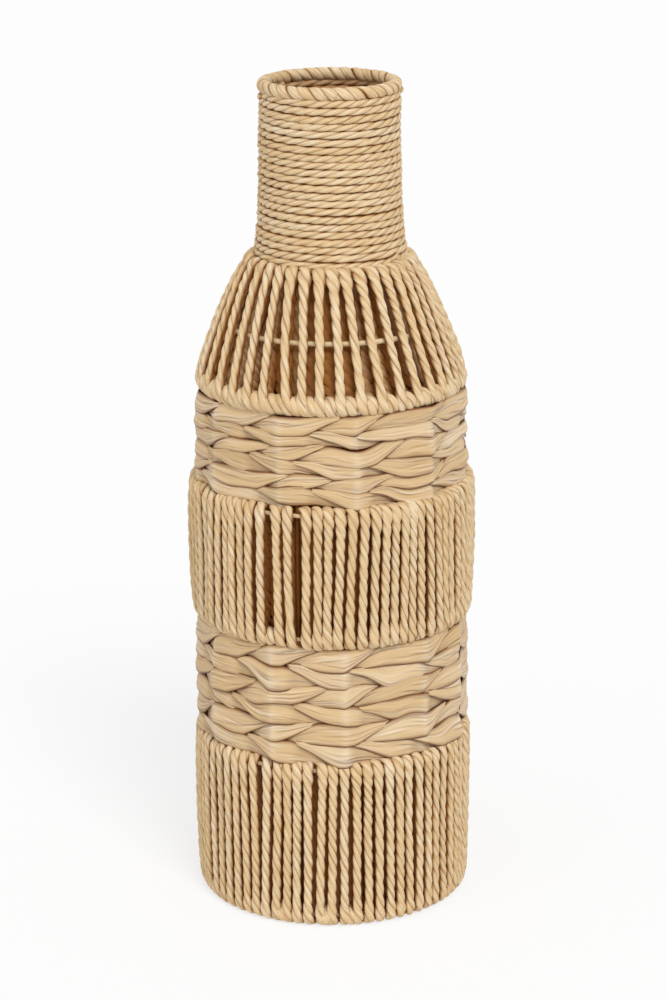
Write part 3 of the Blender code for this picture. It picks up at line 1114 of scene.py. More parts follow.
@dataclass
class NeckWinding:
    """One cord wound down the neck, turn against turn."""

    material: Any
    top: float = 454.6
    bottom: float = 368.4
    # How far the first turn is pushed up against the lashing at the back, and over how many degrees
    # of winding that dies away.
    lift: float = 3.0
    lift_fade: float = 3000.0
    turns: int = 22
    start: float = -6.0
    # Degrees that the cord runs before its first whole turn, and how far up and in that takes it.
    lead: float = 124.0
    lead_climb: float = 1.4
    lead_depth: float = 1.0
    # Degrees wound after the last full turn, the end of it hidden under the shoulder's folds.
    finish: float = 250.0
    # Outer radius at a few heights, and the mean radius of the cord's middle.
    outline: tuple[tuple[float, float], ...] = (
        (368.4, 42.3), (376.0, 41.2), (388.0, 40.1), (400.0, 39.5), (430.0, 38.8), (457.2, 38.5)
    )
    mean_radius: float = 39.0
    # Drift of the height and the radius, and the length over which each drifts.
    drift: float = 0.2
    height_stride: float = 70.0
    radius_stride: float = 50.0
    # Length over which both ends tuck in behind their neighbours, and how deep each goes.
    tuck: float = 9.0
    first_tuck: float = 1.5
    last_tuck: float = 5.0
    # How much thicker the cord lies at the side than at the front; at the back it is twice that.
    looser: float = 0.05
    # Painted shade on the side of each turn that faces into the neck.
    inward_shade: float = 0.5
    tint_stride: float = 120.0
    # Degrees, height and climb of the cord ends that show.
    ends: tuple[tuple[float, float, float], ...] = (
        (50.0, 370.5, 2.5), (-84.0, 455.0, 1.5), (82.0, 457.0, 2.0)
    )
    # Depth at which such an end starts, how far it rises, how far round that curve it goes, its
    # length and its share of the cord's width.
    end_depth: float = 4.5
    end_rise: float = 4.2
    end_curl: float = 1.9
    end_length: float = 6.0
    end_width: float = 0.75
    end_steps: int = 9
    step: float = 1.6
    seed: int = 11
    cord: CordLay = CordLay(lay=24.0, contact=0.75)

    def skin(self, height: float | Array) -> float | Array:
        """Outer radius of the winding at a height."""
        heights, radii = np.array(self.outline).T
        return np.interp(height, heights, radii)

    def build(self) -> None:
        """Builds the winding as one piece."""
        rng = np.random.default_rng(self.seed)
        sweep = self.lead + (self.turns - 1) * 360.0 + self.finish
        count = int(math.radians(sweep) * self.mean_radius / self.step)
        share = np.linspace(0.0, 1.0, count)
        travel = share * count * self.step
        wound = sweep * share - self.lead
        angle = np.radians(self.start + wound)
        pitch = (self.top - self.bottom) / (self.turns - 1)
        early = np.clip(-wound / self.lead, 0.0, 1.0)
        fall = np.maximum(wound, 0.0)
        height = self.top - pitch * fall / 360.0 + self.lead_climb * early
        height += self.lift * (1 - np.cos(np.radians(fall))) / 2 * np.exp(-fall / self.lift_fade)
        height += wander(rng, travel, self.height_stride, self.drift)
        radius = self.skin(height) - self.cord.radius
        radius += wander(rng, travel, self.radius_stride, self.drift)
        tuck = int(self.tuck / self.step)
        dive = np.zeros(count)
        dive[:tuck] = self.first_tuck * (1 - ease(np.linspace(0, 1, tuck)))
        dive[-tuck:] = self.last_tuck * ease(np.linspace(0, 1, tuck))
        points = around(radius - dive - self.lead_depth * early, angle, height)
        away = outward(angle)
        thick = 1.0 + self.looser * (1 - np.cos(angle))
        piece = Piece("neck_winding_cord", Slot.CORD, self.material, ["neck_winding"])
        piece.shells.append(
            self.cord.sweep(
                points, away, away, rng, thick=thick, inward_shade=self.inward_shade, tint_stride=self.tint_stride
            )
        )
        for place, end_height, slope in self.ends:
            piece.shells.append(self.cord_end(math.radians(place), end_height, slope, rng))
        piece.make()

    def cord_end(self, angle: float, height: float, slope: float, rng: np.random.Generator) -> Shell:
        """A short end of cord poking out between two turns.

        Args:
            angle: Where it comes out.
            height: How high it ends.
            slope: How far it climbs over its length.
            rng: Seeded random numbers.

        Returns:
            The closed skin of the end.
        """
        share = np.linspace(0.0, 1.0, self.end_steps)
        skin = self.skin(height)
        radius = skin - self.end_depth + self.end_rise * np.sin(share * self.end_curl)
        angles = angle + share * self.end_length / skin
        points = around(radius, angles, height + slope * (share - 1.0))
        away = outward(angles)
        return self.cord.sweep(points, away, away, rng, self.end_width, self.end_width)


@dataclass
class RimLashing:
    """Two cords wound side by side round the mouth ring, so that their loops lean like a rope's."""

    material: Any
    ring: Ring = MOUTH
    strands: int = 2
    turns: int = 17
    # Turns wound on over the start, so that no gap is left there.
    extra: float = 0.6
    start: float = -8.0
    # Room inside the loops for the wire, where the cords are pressed into each other.
    wire: float = 0.3
    # Share of the cord's radius along the ring and away from it, as it is pressed flat.
    wide: float = 1.24
    thick: float = 0.72
    # How far the lashing's middle line lies outside and below the wire's.
    outset: float = 0.4
    drop: float = 0.4
    # How far each loop runs ahead outside and lags inside.
    lean: float = 0.3
    # Drift of the angle in radians and of the reach in millimetres, and the lengths over which they drift.
    angle_drift: float = 0.012
    angle_stride: float = 16.0
    reach_drift: float = 0.12
    reach_stride: float = 12.0
    tint_stride: float = 25.0
    # Share of painted shade on the side inside the mouth, and where it starts: 0 is half way in, 1 the
    # innermost.
    inner_shade: float = 0.2
    inner_shade_start: float = 0.4
    step: float = 1.0
    seed: int = 23
    # Pulled tight, so the plies are pressed nearly smooth and only the cords' own edges show.
    cord: CordLay = CordLay(
        lay=46.0,
        ply_reach=(0.93, 0.985, 1.0, 0.985, 0.93, 0.86),
        ply_groove_shade=(0.08, 0.0, 0.0, 0.0, 0.08, 0.35),
        contact=0.45,
    )

    def build(self) -> None:
        """Builds the lashing as one piece."""
        rng = np.random.default_rng(self.seed)
        reach = self.wire + self.thick * self.cord.radius
        length = math.hypot(self.turns * FULL_TURN * reach, FULL_TURN * self.ring.radius)
        share = np.linspace(0.0, 1.0 + self.extra / self.turns, int(length / self.step))
        travel = share * length
        piece = Piece("rim_lashing_cord", Slot.CORD, self.material, ["rim_lashing"])
        for strand in range(self.strands):
            phi = share * self.turns * FULL_TURN + math.pi
            start = math.radians(self.start) + FULL_TURN * strand / self.strands / self.turns
            # Each loop leans, because the cord runs ahead where it crosses outside.
            angle = start + share * FULL_TURN + self.lean / self.ring.radius * np.sin(phi)
            angle += wander(rng, travel, self.angle_stride, self.angle_drift)
            reach_here = reach + wander(rng, travel, self.reach_stride, self.reach_drift)
            radius = self.ring.radius + self.outset + reach_here * np.cos(phi)
            height = self.ring.height - self.drop - reach_here * np.sin(phi)
            piece.shells.append(
                self.cord.sweep(
                    around(radius, angle, height),
                    sideways(angle),
                    np.cos(phi)[:, None] * outward(angle) - np.sin(phi)[:, None] * UPWARD,
                    rng,
                    self.wide,
                    self.thick,
                    # Painted shade on the side of each loop inside the mouth.
                    self.inner_shade * ease(-np.cos(phi) - self.inner_shade_start),
                    tint_stride=self.tint_stride,
                )
            )
        piece.make()


@dataclass(frozen=True)
class Creases:
    """Sharp folds that run along a float of ribbon, each a dark line of painted shade with a pale line of
    painted highlight beside it.
    """

    fewest: int = 9
    most: int = 15
    # Spread of their slope, as a share of the width over the float's length.
    slope: float = 0.22
    # Shares of the width between which they lie, how far they drift and over what length.
    lines: tuple[float, float] = (0.1, 0.9)
    drift: float = 0.02
    drift_length: float = 30.0
    # Share of the width where one edge is folded over on itself and shows as a crease with its pale strip of
    # painted highlight.
    edges: tuple[float, float] = (0.13, 0.87)
    edge_length: float = 16.0
    # Chance that one starts at a pinched point, how far it then runs, and over how much it fades.
    pinched: float = 0.6
    pinched_reach: tuple[float, float] = (0.15, 0.65)
    fade: float = 8.0
    # Place along the float and half length of the others.
    centres: tuple[float, float] = (0.2, 0.8)
    half_lengths: tuple[float, float] = (5.0, 11.0)
    strengths: tuple[float, float] = (0.35, 1.0)
    # Share of the width that the dark line takes; the pale one lies beside it and is wider.
    widths: tuple[float, float] = (0.020, 0.040)
    pale_apart: float = 2.2
    pale_width: float = 1.4

    def draw(self, rng: np.random.Generator, s: Array, t: Array, length: float) -> tuple[Array, Array]:
        """Draws the creases of one float.

        Args:
            rng: Seeded random numbers.
            s: Distance of each row of points from the float's left column.
            t: Share of the width of each column of points.
            length: Distance between the float's columns.

        Returns:
            How far each point lies in a crease, and how far on a pale line.
        """
        dark = np.zeros((len(s), len(t)))
        pale = np.zeros((len(s), len(t)))
        for number in range(rng.integers(self.fewest, self.most)):
            cut = rng.normal(0.0, self.slope) * (s / length - 0.5)
            line = rng.uniform(*self.lines) + cut + wander(rng, s, self.drift_length, self.drift)
            if number == 0:
                line = rng.choice(self.edges) + wander(rng, s, self.edge_length, self.drift)
            if rng.random() < self.pinched:
                reach = rng.uniform(*self.pinched_reach) * length
                from_left = rng.random() < 0.5
                strength = ease(((reach - s) if from_left else (s - length + reach)) / self.fade)
            else:
                centre = rng.uniform(*self.centres) * length
                strength = np.exp(-(((s - centre) / rng.uniform(*self.half_lengths)) ** 2))
            strength = strength * rng.uniform(*self.strengths)
            apart = t[None, :] - line[:, None]
            width = rng.uniform(*self.widths)
            lit = rng.choice([-self.pale_apart, self.pale_apart]) * width
            dark += strength[:, None] * np.exp(-((apart / width) ** 2))
            pale += strength[:, None] * np.exp(-(((apart - lit) / (self.pale_width * width)) ** 2))
        return np.clip(dark, 0.0, 1.0), np.clip(pale, 0.0, 1.0)


@dataclass(frozen=True)
class HollowShade:
    """How much painted shade a float gets: along its edges, in creases and where it goes under."""

    # How sharply it falls off from the rolled edge, and a faint margin beside that.
    edge_power: float = 1.2
    margin: float = 0.3
    margin_width: float = 0.09
    crease: float = 0.55
    tip: float = 0.25
    covered: float = 0.2
    # At the left and the right point, over these lengths.
    point: float = 0.9
    point_lengths: tuple[float, float] = (3.5, 3.0)

    def edge(self, bow: Array, t: Array) -> Array:
        """Shade across a float.

        Args:
            bow: How far each place across it stands out, from 0 at the edge to 1.
            t: Share of the width.

        Returns:
            The shade at each place.
        """
        margin = np.exp(-((t / self.margin_width) ** 2)) + np.exp(-(((1 - t) / self.margin_width) ** 2))
        return (1 - bow) ** self.edge_power + self.margin * margin

    def along(self, tip: Array, covered: Array, from_left: Array, to_right: Array) -> Array:
        """Shade along a float.

        Args:
            tip: How far each place belongs to the left point.
            covered: How far a neighbour covers it.
            from_left: Distance from the left end.
            to_right: Distance to the right end.

        Returns:
            The shade at each place.
        """
        left, right = self.point_lengths
        point = 1 - ease(from_left / left) + ease((right - to_right) / right)
        return self.tip * tip + self.covered * covered + self.point * point


@dataclass
class TwinedBand:
    """Rows of paper ribbon twined in pairs round the stays, each pair leaning against the next."""

    name: str
    node: str
    material: Any
    top: float
    bottom: float
    # Degrees where the strands of each row change places.
    columns: tuple[float, ...]
    # Degrees where the ribbon bends over a stay.
    crests: tuple[float, ...]
    # Outer radius over the stays at the top and the bottom edge.
    radius_top: float
    radius_bottom: float
    seed: int
    rows: int = 6
    # Drift of the rows' boundaries in millimetres, the degrees over which it changes, and the
    # share of it that the band's own edges have.
    boundary: float = 1.2
    boundary_stride: float = 12.0
    edge_share: float = 0.3
    # Drift in degrees of a column for two rows together, and for each row.
    pair_drift: float = 2.6
    row_drift: float = 2.2
    # Half the length over which one float takes the place of another, where rows rise and fall.
    overlaps: tuple[float, float] = (11.5, 13.5)
    # Between what powers the floats' points widen, and the share of that in their form.
    fullness: tuple[float, float] = (0.7, 1.4)
    power_share: float = 0.6
    # Share of the row's height that a point still has.
    least: float = 0.08
    # How far a float's edges are tucked under the next rows, and how far its middle sags or lifts.
    tuck: float = 0.8
    sag: float = 0.75
    # How much further the first and the last row run, behind the cords above and below.
    hidden: float = 1.0
    # How far the edges roll under, and how flat the middle stays.
    crown: float = 0.9
    flatness: float = 5.0
    # How far one edge of a float stands out over the next row, between what shares of that, and
    # how often it is the lower edge.
    tilt: float = 0.75
    tilt_share: tuple[float, float] = (0.5, 1.3)
    lower_out: float = 0.7
    # How far a float sinks near its columns, at its pinched end, where another covers it, and at
    # its hidden end, and over what lengths.
    dip: float = 0.8
    dip_length: float = 10.0
    tip_depth: float = 3.0
    tip_length: float = 5.5
    under: float = 1.6
    under_length: float = 7.0
    end_depth: float = 1.8
    end_length: float = 6.0
    # In a rising row the cover starts this far along, and fades over this many overlaps.
    cover_start: float = 4.0
    cover_fade: float = 1.7
    depth_drift: float = 0.22
    # A float inside the stays lies this deep, less so near its columns, and rolls by this.
    inside_depth: float = 7.6
    inside_rise: float = 1.6
    inside_length: float = 9.0
    inside_crown: float = 0.8
    # A float that takes up this share of its row rolls and tilts fully.
    full_width: float = 0.625
    # How soon from its edges the folds and creases are full.
    held: float = 6.0
    # Number across the width and size of the soft folds, their drift and its length.
    folds: tuple[tuple[float, float], ...] = ((1.1, 0.17), (2.3, 0.09))
    fold_drift: float = 0.35
    fold_length: float = 20.0
    creases: Creases = Creases()
    shade: HollowShade = HollowShade()
    crease_depth: float = 0.3
    crease_lip: float = 0.12
    thickness: float = 0.8
    # Share of the thickness that the ribbon still has at its edges.
    edge_thickness: float = 0.35
    # How strongly the paper's own shade varies from float to float, and how much painted highlight it gets
    # on a crease's lip and where it bends over a stay, this many degrees to each side.
    tint: float = 0.28
    lip_highlight: float = 1.1
    stay_highlight: float = 0.6
    stay_highlight_width: float = 2.0
    along_steps: int = 44
    across_steps: int = 31
    inside_steps: int = 7
    back_steps: int = 5

    def edges(self, s: Array, length: float, slant: Slant, sweep: Array) -> tuple[Array, Array]:
        """Lower and upper edge of a float as shares of its row.

        Args:
            s: Distance from the float's left column.
            length: Distance between its columns.
            slant: Which way the row leans.
            sweep: How full the left and the right point are; 1 is a straight taper.

        Returns:
            The lower and the upper edge.
        """
        overlap = self.overlap(slant)
        opening = np.clip((s + overlap) / (2 * overlap), 0.0, 1.0)
        closing = np.clip((s - length + overlap) / (2 * overlap), 0.0, 1.0)
        opening = self.taper(opening, sweep[0])
        closing = 1.0 - self.taper(1.0 - closing, sweep[1])
        lower, upper = (closing, opening) if slant is Slant.RISING else (1.0 - opening, 1.0 - closing)
        middle = (lower + upper) / 2
        half = np.maximum((upper - lower) / 2, self.least / 2)
        return middle - half, middle + half

    def taper(self, share: Array, sweep: float) -> Array:
        """Width of a float's point from 0 to 1, partly a power and partly a smooth step."""
        return self.power_share * share**sweep + (1.0 - self.power_share) * ease(share)

    def overlap(self, slant: Slant) -> float:
        """Half the length over which a float of such a row takes the place of another."""
        return self.overlaps[0 if slant is Slant.RISING else 1]

    def facets(self, degrees: Array) -> Array:
        """How far the band lies inside its round, because ribbon runs straight from stay to stay.

        Args:
            degrees: Angles from the front.

        Returns:
            Share of the radius at each angle.
        """
        marks = np.array(self.crests)
        marks = np.concatenate([marks - 360.0, marks, marks + 360.0])
        place = np.clip(np.searchsorted(marks, degrees) - 1, 0, len(marks) - 2)
        half = (marks[place + 1] - marks[place]) / 2
        middle = (marks[place + 1] + marks[place]) / 2
        return np.cos(np.radians(half)) / np.cos(np.radians(degrees - middle))

    def heights(self, row: int, degrees: Array, edges: Array, sag: Array, bounds: Array, t: Array) -> Array:
        """Height of each point of a float.

        Args:
            row: The row's number from the top.
            degrees: Angle of each row of points.
            edges: Its lower and upper edge as shares of its row.
            sag: How far it lifts there.
            bounds: Drift of the row boundaries by degree, one line per boundary.
            t: Share of the width of each column of points.

        Returns:
            One row of heights for each angle.
        """
        height = (self.top - self.bottom) / self.rows
        whole = np.arange(361)
        floor = self.top - height * (row + 1) + np.interp(degrees % 360, whole, bounds[row + 1])
        roof = self.top - height * row + np.interp(degrees % 360, whole, bounds[row])
        # The first and the last row run on behind the cords above and below.
        roof = roof + (self.hidden if row == 0 else 0.0)
        floor = floor - (self.hidden if row == self.rows - 1 else 0.0)
        low = floor + (roof - floor) * edges[0] - self.tuck + sag
        high = floor + (roof - floor) * edges[1] + self.tuck + sag
        return low[:, None] + (high - low)[:, None] * t[None, :]

    def strip(
        self, rng: np.random.Generator, row: int, start: float, end: float, bounds: Array, inside: bool
    ) -> Shell:
        """One float of ribbon.

        Args:
            rng: Seeded random numbers.
            row: The row's number from the top.
            start: Angle of its left column in degrees.
            end: Angle of its right column in degrees.
            bounds: Drift of the row boundaries by degree, one line per boundary.
            inside: Whether it passes behind the stay.

        Returns:
            The closed skin of the float.
        """
        mean = (self.radius_top + self.radius_bottom) / 2
        length = math.radians(end - start) * mean
        along = self.along_steps // (2 if inside else 1)
        across = self.inside_steps if inside else self.across_steps
        slant = Slant.RISING if row % 2 == 0 else Slant.FALLING
        overlap = self.overlap(slant)
        s = np.linspace(-overlap, length + overlap, along)
        t = np.linspace(0.0, 1.0, across)
        lower, upper = self.edges(s, length, slant, rng.uniform(*self.fullness, 2))
        degrees = start + np.degrees(s / mean)
        # One edge lies over the next row and the other under it.
        tilt = self.tilt * rng.uniform(*self.tilt_share)
        tilt = tilt * rng.choice([-1.0, 1.0], p=[1.0 - self.lower_out, self.lower_out])
        sag = rng.normal(0.0, self.sag) * np.sin(math.pi * np.clip(s / length, 0.0, 1.0))
        z = self.heights(row, degrees, np.stack([lower, upper]), sag, bounds, t)
        share = (self.top - z) / (self.top - self.bottom)
        base = self.radius_top + (self.radius_bottom - self.radius_top) * share
        base = base * self.facets(degrees)[:, None]
        # Flat across most of its width, with edges that roll under.
        bow = 1.0 - np.abs(2 * t - 1) ** self.flatness
        nearest = np.minimum(np.abs(s), np.abs(s - length))
        # Painted shade along the rolled edges, and full on the back faces.
        edge = np.concatenate([self.shade.edge(bow, t), np.ones(self.back_steps)])
        groove_shade = np.repeat(edge[None, :], along, axis=0)
        tint = np.zeros(z.shape)
        if inside:
            depth = -self.inside_depth + self.inside_rise * np.exp(-((nearest / self.inside_length) ** 2))
            radius = base + depth[:, None] - self.inside_crown * bow[None, :]
        else:
            tip_in = 1 - ease((s + overlap) / self.tip_length)
            tip_end = ease((s - length - overlap + self.end_length) / self.end_length)
            # In a rising row the old float lies over the new one, in a falling row under it.
            if slant is Slant.RISING:
                covered = 1 - ease((s + overlap - self.cover_start) / (self.cover_fade * overlap))
            else:
                covered = ease((s - length + overlap) / self.under_length)
            depth = (
                -self.dip * np.exp(-((nearest / self.dip_length) ** 2))
                - self.tip_depth * tip_in
                - self.under * covered
                - self.end_depth * tip_end
                + rng.normal(0.0, self.depth_drift)
            )
            full = np.minimum(1.0, (upper - lower) / self.full_width)[:, None]
            radius = base + depth[:, None] - self.crown * (1 - bow[None, :] * full)
            radius += tilt * full * (1 - 2 * t[None, :])
            # Folds gathered by hand run the length of the ribbon and fade towards its edges.
            held = np.minimum(1.0, self.held * t * (1 - t))
            for waves, size in self.folds:
                phase = rng.uniform(0, FULL_TURN) + wander(rng, s, self.fold_length, self.fold_drift)
                radius += size * np.sin(FULL_TURN * waves * t[None, :] + phase[:, None]) * held
            # Each crease's dark line adds painted shade and its pale lip a painted highlight, besides their
            # relief.
            crease, pale = (lines * held for lines in self.creases.draw(rng, s, t, length))
            radius += self.crease_lip * pale - self.crease_depth * crease
            groove_shade[:, :across] += self.shade.crease * crease
            # Painted shade at the float's points and where a neighbour covers it.
            sunk = self.shade.along(tip_in, covered, s + overlap, length + overlap - s)
            groove_shade = np.clip(groove_shade + sunk[:, None], 0, 1)
            tint = self.lip_highlight * pale
        angle = np.radians(degrees)[:, None]
        thickness = self.thickness * (self.edge_thickness + (1 - self.edge_thickness) * bow[None, :])
        outer = around(radius, angle, z)
        inner = around(radius - thickness, angle, z)
        back = np.linspace(across - 1, 0, self.back_steps).round().astype(int)
        loop = np.concatenate([outer, inner[:, back]], axis=1)
        sides = across + self.back_steps
        caps = strip_cap(0, sides, True) + strip_cap((along - 1) * sides, sides, False)
        faces = np.concatenate([grid_faces(along, sides, True)[:, ::-1], np.array(caps)])
        column = np.concatenate([t, t[back]]) * ((self.top - self.bottom) / self.rows)
        flat = faces.reshape(-1)
        uv = np.stack([s[flat // sides], column[flat % sides]], -1) + rng.uniform(0, 500, 2)
        # Painted shade: floats inside the stays and every back face take the inside colour.
        inside_shade = np.concatenate([np.full(across, 1.0 if inside else 0.0), np.ones(self.back_steps)])
        # Painted highlight where the ribbon bends over a stay.
        bends = np.abs((degrees[:, None] - np.array(self.crests) + 180.0) % 360.0 - 180.0).min(axis=1)
        wear_and_highlight = self.stay_highlight * np.exp(-((bends / self.stay_highlight_width) ** 2))[:, None]
        tints = np.full((along, sides), rng.normal(0.0, self.tint))
        tints[:, :across] += tint
        return Shell(
            loop.reshape(-1, 3),
            faces,
            uv * MILLIMETRE,
            (tints + wear_and_highlight).reshape(-1),
            groove_shade.reshape(-1),
            np.tile(inside_shade, along),
        )

    def build(self) -> None:
        """Builds the band: the floats outside the stays as one piece, those inside as another."""
        rng = np.random.default_rng(self.seed)
        degrees = np.arange(361)
        lines = range(self.rows + 1)
        bounds = np.stack([wander(rng, degrees * 1.0, self.boundary_stride, self.boundary) for _ in lines])
        bounds[[0, -1]] *= self.edge_share
        # The last twenty degrees lead back to the first.
        blend = np.clip((degrees - 340) / 20, 0, 1)
        bounds = bounds * (1 - blend) + bounds[:, :1] * blend
        outer = Piece(f"{self.name}_outside", Slot.RIBBON, self.material, [self.node])
        inner = Piece(f"{self.name}_inside", Slot.RIBBON, self.material, [self.node])
        count = len(self.columns)
        shared = np.zeros(count)
        for row in range(self.rows):
            # Rows one and two, three and four, five and six start their floats together.
            if row % 2 == 0:
                shared = rng.normal(0.0, self.pair_drift, count)
            line = np.array(self.columns) + (shared + rng.normal(0.0, self.row_drift, count))
            for start, end in zip(line, [*line[1:], line[0] + 360.0]):
                outer.shells.append(self.strip(rng, row, start, end, bounds, False))
                inner.shells.append(self.strip(rng, row, start, end, bounds, True))
        outer.make()
        inner.make()


def seen_directly(tree: Any) -> Any:
    """Adds the nodes that tell the camera's own sight, also in gloss and through glass, from light.

    Args:
        tree: The node tree.

    Returns:
        The socket, one for such rays and nought for the rest.
    """
    rays = add_node(tree, "ShaderNodeLightPath")
    seen = rays.outputs["Is Camera Ray"]
    for name in ("Is Glossy Ray", "Is Transmission Ray"):
        either = add_node(tree, "ShaderNodeMath", {0: seen, 1: rays.outputs[name]}, operation="MAXIMUM")
        seen = either.outputs[0]
    return seen


@dataclass(frozen=True)
class StudioPaper:
    """White background paper: matt, even, nearly as bright as the lamps allow."""

    # Its fine tooth takes any gloss off it.
    sheet: str = "#F4F4F4"
    # The camera sees this much of the paper as plain white, the rest with the shadow on it.
    lifted: float = 0.72
    # Millimetres from tooth to tooth; real paper is finer, but then nothing of it would show.
    tooth: float = 2.5

    def material(self) -> Any:
        """Builds the material.

        Returns:
            The material.
        """
        material, output = new_material("studio_paper")
        tree = material.node_tree
        place = add_node(tree, "ShaderNodeTexCoord").outputs["Object"]
        tooth = add_node(tree, "ShaderNodeTexNoise", {"Vector": place, "Scale": 1000.0 / self.tooth})
        bump = add_node(
            tree,
            "ShaderNodeBump",
            {"Height": tooth.outputs["Fac"], "Strength": 0.02, "Distance": 0.0001},
        )
        paper = add_node(
            tree,
            "ShaderNodeBsdfDiffuse",
            {"Color": linear_colour(self.sheet), "Normal": bump.outputs["Normal"]},
        )
        white = add_node(tree, "ShaderNodeEmission", {"Strength": 1.0})
        share = add_node(
            tree, "ShaderNodeMath", {0: seen_directly(tree), 1: self.lifted}, operation="MULTIPLY"
        )
        mixed = add_node(
            tree, "ShaderNodeMixShader", {0: share.outputs[0], 1: paper.outputs[0], 2: white.outputs[0]}
        )
        tree.links.new(mixed.outputs[0], output.inputs["Surface"])
        return material


@dataclass(frozen=True)
class SoftLamp:
    """One large soft lamp: its strength, how wide it looks from the vase and its rotation in degrees."""

    name: str
    strength: float
    spread: float
    tilt: tuple[float, float, float]

    def make(self) -> None:
        """Makes the lamp."""
        data = bpy.data.lights.new(self.name, "SUN")
        data.energy = self.strength
        data.angle = math.radians(self.spread)
        lamp = bpy.data.objects.new(self.name, data)
        lamp.rotation_euler = [math.radians(v) for v in self.tilt]
        bpy.context.scene.collection.objects.link(lamp)


@dataclass
class Studio:
    """Floor, light and camera, in metres and degrees."""

    floor_radius: float = 14.0
    floor_steps: int = 64
    camera_distance: float = 1.628
    camera_height: float = 0.721
    camera_side: float = 0.001
    pitch: float = 16.91
    roll: float = -0.30
    # Focal length and sensor width in millimetres.
    lens: float = 109.55
    sensor: float = 36.0
    sky: float = 0.56
    lamps: tuple[SoftLamp, ...] = (
        SoftLamp("key", 1.75, 24.0, (42.0, 0.0, 20.0)),
        SoftLamp("fill", 0.35, 60.0, (55.0, 0.0, -48.0)),
    )

    def build(self) -> None:
        """Builds the studio round the vase."""
        self.make_floor()
        self.make_world()
        for lamp in self.lamps:
            lamp.make()
        self.make_camera()
        bpy.context.scene.view_settings.view_transform = "Standard"

    def make_floor(self) -> None:
        """Makes the floor that the vase stands on."""
        turn = np.arange(self.floor_steps) / self.floor_steps * FULL_TURN
        rim = around(self.floor_radius, turn, 0.0)
        mesh = bpy.data.meshes.new("studio_floor")
        mesh.from_pydata([tuple(p) for p in rim], [], [tuple(range(self.floor_steps))])
        mesh.materials.append(StudioPaper().material())
        floor = bpy.data.objects.new("studio_floor", mesh)
        bpy.context.scene.collection.objects.link(floor)

    def make_world(self) -> None:
        """Makes an even pale sky that the camera sees as white."""
        world = bpy.data.worlds.new("studio_sky")
        world.use_nodes = True
        tree = world.node_tree
        tree.nodes.clear()
        light, white = (
            add_node(tree, "ShaderNodeBackground", {"Color": (1.0, 1.0, 1.0, 1.0), "Strength": strength})
            for strength in (self.sky, 1.0)
        )
        mixed = add_node(
            tree, "ShaderNodeMixShader", {0: seen_directly(tree), 1: light.outputs[0], 2: white.outputs[0]}
        )
        add_node(tree, "ShaderNodeOutputWorld", {"Surface": mixed.outputs[0]})
        bpy.context.scene.world = world

    def make_camera(self) -> None:
        """Makes the camera at the photograph's angle."""
        data = bpy.data.cameras.new("camera")
        data.lens = self.lens
        data.sensor_width = self.sensor
        camera = bpy.data.objects.new("camera", data)
        tilt = Matrix.Rotation(math.radians(90.0 - self.pitch), 4, "X")
        roll = Matrix.Rotation(math.radians(self.roll), 4, "Z")
        place = Matrix.Translation(Vector((self.camera_side, -self.camera_distance, self.camera_height)))
        camera.matrix_world = place @ tilt @ roll
        bpy.context.scene.collection.objects.link(camera)
        bpy.context.scene.camera = camera


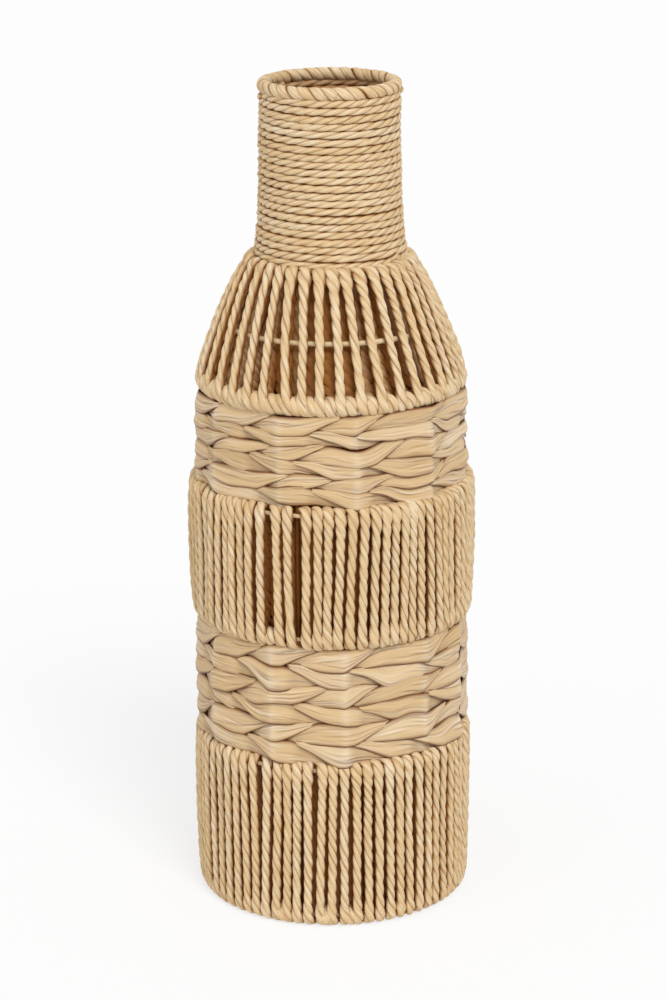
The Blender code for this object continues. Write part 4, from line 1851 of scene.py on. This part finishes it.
def main() -> None:
    logging.basicConfig(level=logging.INFO, format="%(name)s %(message)s")
    cord = TwistedPaperCord().material()
    ribbon = FlatPaperRibbon().material()
    wire = PowderCoatedWire().material()
    # Painted shade: the stays are coloured dark brown to read as the shaded gaps between the cords.
    stay_wire = PowderCoatedWire("shaded_stay_wire", "#85521F", "#6E431B", roughness=0.7, specular=0.12)
    WireFrame(wire, stay_wire.material()).build()
    Lacing(
        "skirt_lacing", "skirt_wrap", cord, SKIRT_TOP, BASE,
        upper_angles=(
            -66.8, -60.8, -55.7, -50.3, -45.3, -40.6, -35.5, -28.4, -23.4, -19.3, -15.0, -10.4, -4.1, 0.1,
            4.8, 9.7, 14.5, 19.1, 24.0, 28.5, 33.1, 38.4, 43.6, 48.2, 53.8, 59.0, 63.4, 68.6,
        ),
        middle_angles=(
            -67.2, -61.8, -56.2, -50.4, -45.0, -39.9, -35.0, -29.4, -24.3, -19.7, -15.3, -10.6, -5.1, -0.4,
            4.5, 9.8, 14.8, 19.5, 24.5, 29.2, 33.8, 39.0, 44.1, 48.7, 54.2, 59.8, 64.6, 69.4,
        ),
        lower_angles=(
            -68.1, -61.0, -56.0, -50.8, -45.2, -40.0, -35.3, -30.6, -25.4, -20.5, -16.0, -11.1, -5.8, -0.8,
            4.6, 10.1, 15.1, 20.0, 25.1, 29.9, 34.7, 39.8, 45.0, 49.4, 55.6, 60.6, 65.4, 70.2,
        ),
        pitch=4.4, seed=3, squeezed=(-22.5, -3.4, 7.8), fold=3.6, cord=CordLay(radius=2.48),
    ).build()
    Lacing(
        "belly_lacing", "belly_wrap", cord, BELLY_TOP, BELLY_BOTTOM,
        upper_angles=(
            -68.5, -62.2, -57.5, -52.0, -47.4, -43.7, -39.6, -35.0, -29.7, -22.5, -17.8, -9.9, -5.4, -1.1,
            3.6, 8.6, 13.4, 18.1, 22.4, 26.6, 30.7, 34.5, 38.0, 42.7, 47.6, 51.8, 56.2, 60.9, 65.6, 71.1,
        ),
        middle_angles=(
            -67.8, -62.1, -57.9, -52.8, -48.0, -44.3, -40.2, -35.6, -30.3, -22.5, -17.7, -10.4, -5.8, -1.6,
            3.0, 7.7, 12.6, 17.6, 22.0, 26.2, 30.4, 34.2, 38.3, 43.6, 48.5, 52.4, 57.1, 62.1, 67.0, 72.0,
        ),
        lower_angles=(
            -69.2, -63.8, -59.6, -53.9, -48.6, -44.5, -40.2, -35.6, -30.3, -21.9, -17.0, -10.6, -6.1, -2.1,
            2.0, 6.9, 12.1, 17.0, 21.6, 25.9, 30.1, 34.4, 39.0, 44.6, 50.2, 54.3, 58.8, 63.6, 68.2, 72.8,
        ),
        pitch=4.35, seed=5, fold=3.6, cord=CordLay(radius=2.48),
    ).build()
    Lacing(
        "shoulder_lacing", "shoulder_wrap", cord, NECK, SHOULDER,
        upper_angles=(
            -92.5, -80.0, -67.8, -55.4, -45.4, -36.1, -26.8, -17.2, -7.3, 1.6, 10.2, 19.9, 29.9, 39.0, 48.1,
            56.5, 64.5, 74.4,
        ),
        middle_angles=(
            -83.0, -72.0, -61.2, -50.4, -41.2, -32.6, -22.8, -13.9, -5.5, 3.5, 12.0, 20.8, 30.5, 39.2, 47.0,
            54.8, 62.5, 70.6,
        ),
        lower_angles=(
            -77.0, -66.5, -55.6, -46.6, -38.3, -30.0, -18.9, -12.3, -4.8, 4.0, 12.9, 22.0, 31.2, 40.0, 48.6,
            56.4, 62.8, 69.6,
        ),
        pitch=6.0, seed=7, room=4.6, press=0.44, fold=3.7, lighter_share=0.45,
        cord=CordLay(radius=2.62, lay=25.0),
        profile=((50.6, 355.4), (58.9, 337.2), (66.3, 319.1), (69.9, 310.0), (72.0, 303.2)),
    ).build()
    NeckWinding(cord).build()
    RimLashing(cord).build()
    TwinedBand(
        "upper_twining", "upper_weave", ribbon, top=292.8, bottom=244.7,
        columns=(-65.0, -33.0, -3.5, 22.8, 50.2, 80.0, 110.5, 141.0, 171.5, 202.0, 232.5, 263.5),
        crests=(-57.0, -22.0, 10.4, 45.7, 78.0, 107.0, 136.0, 165.0, 194.0, 222.0, 250.0, 284.0),
        radius_top=76.6, radius_bottom=77.6, seed=31,
    ).build()
    TwinedBand(
        "lower_twining", "lower_weave", ribbon, top=162.9, bottom=98.2,
        columns=(-65.0, -38.4, -11.6, 16.1, 46.1, 76.0, 107.0, 138.0, 169.0, 200.0, 231.0, 263.0),
        crests=(-58.9, -26.0, 5.2, 41.6, 67.0, 98.0, 129.0, 160.0, 190.0, 220.0, 249.0, 280.0),
        radius_top=77.8, radius_bottom=77.8, seed=37, overlaps=(12.0, 14.0),
    ).build()
    Studio().build()


if __name__ == "__main__":
    main()
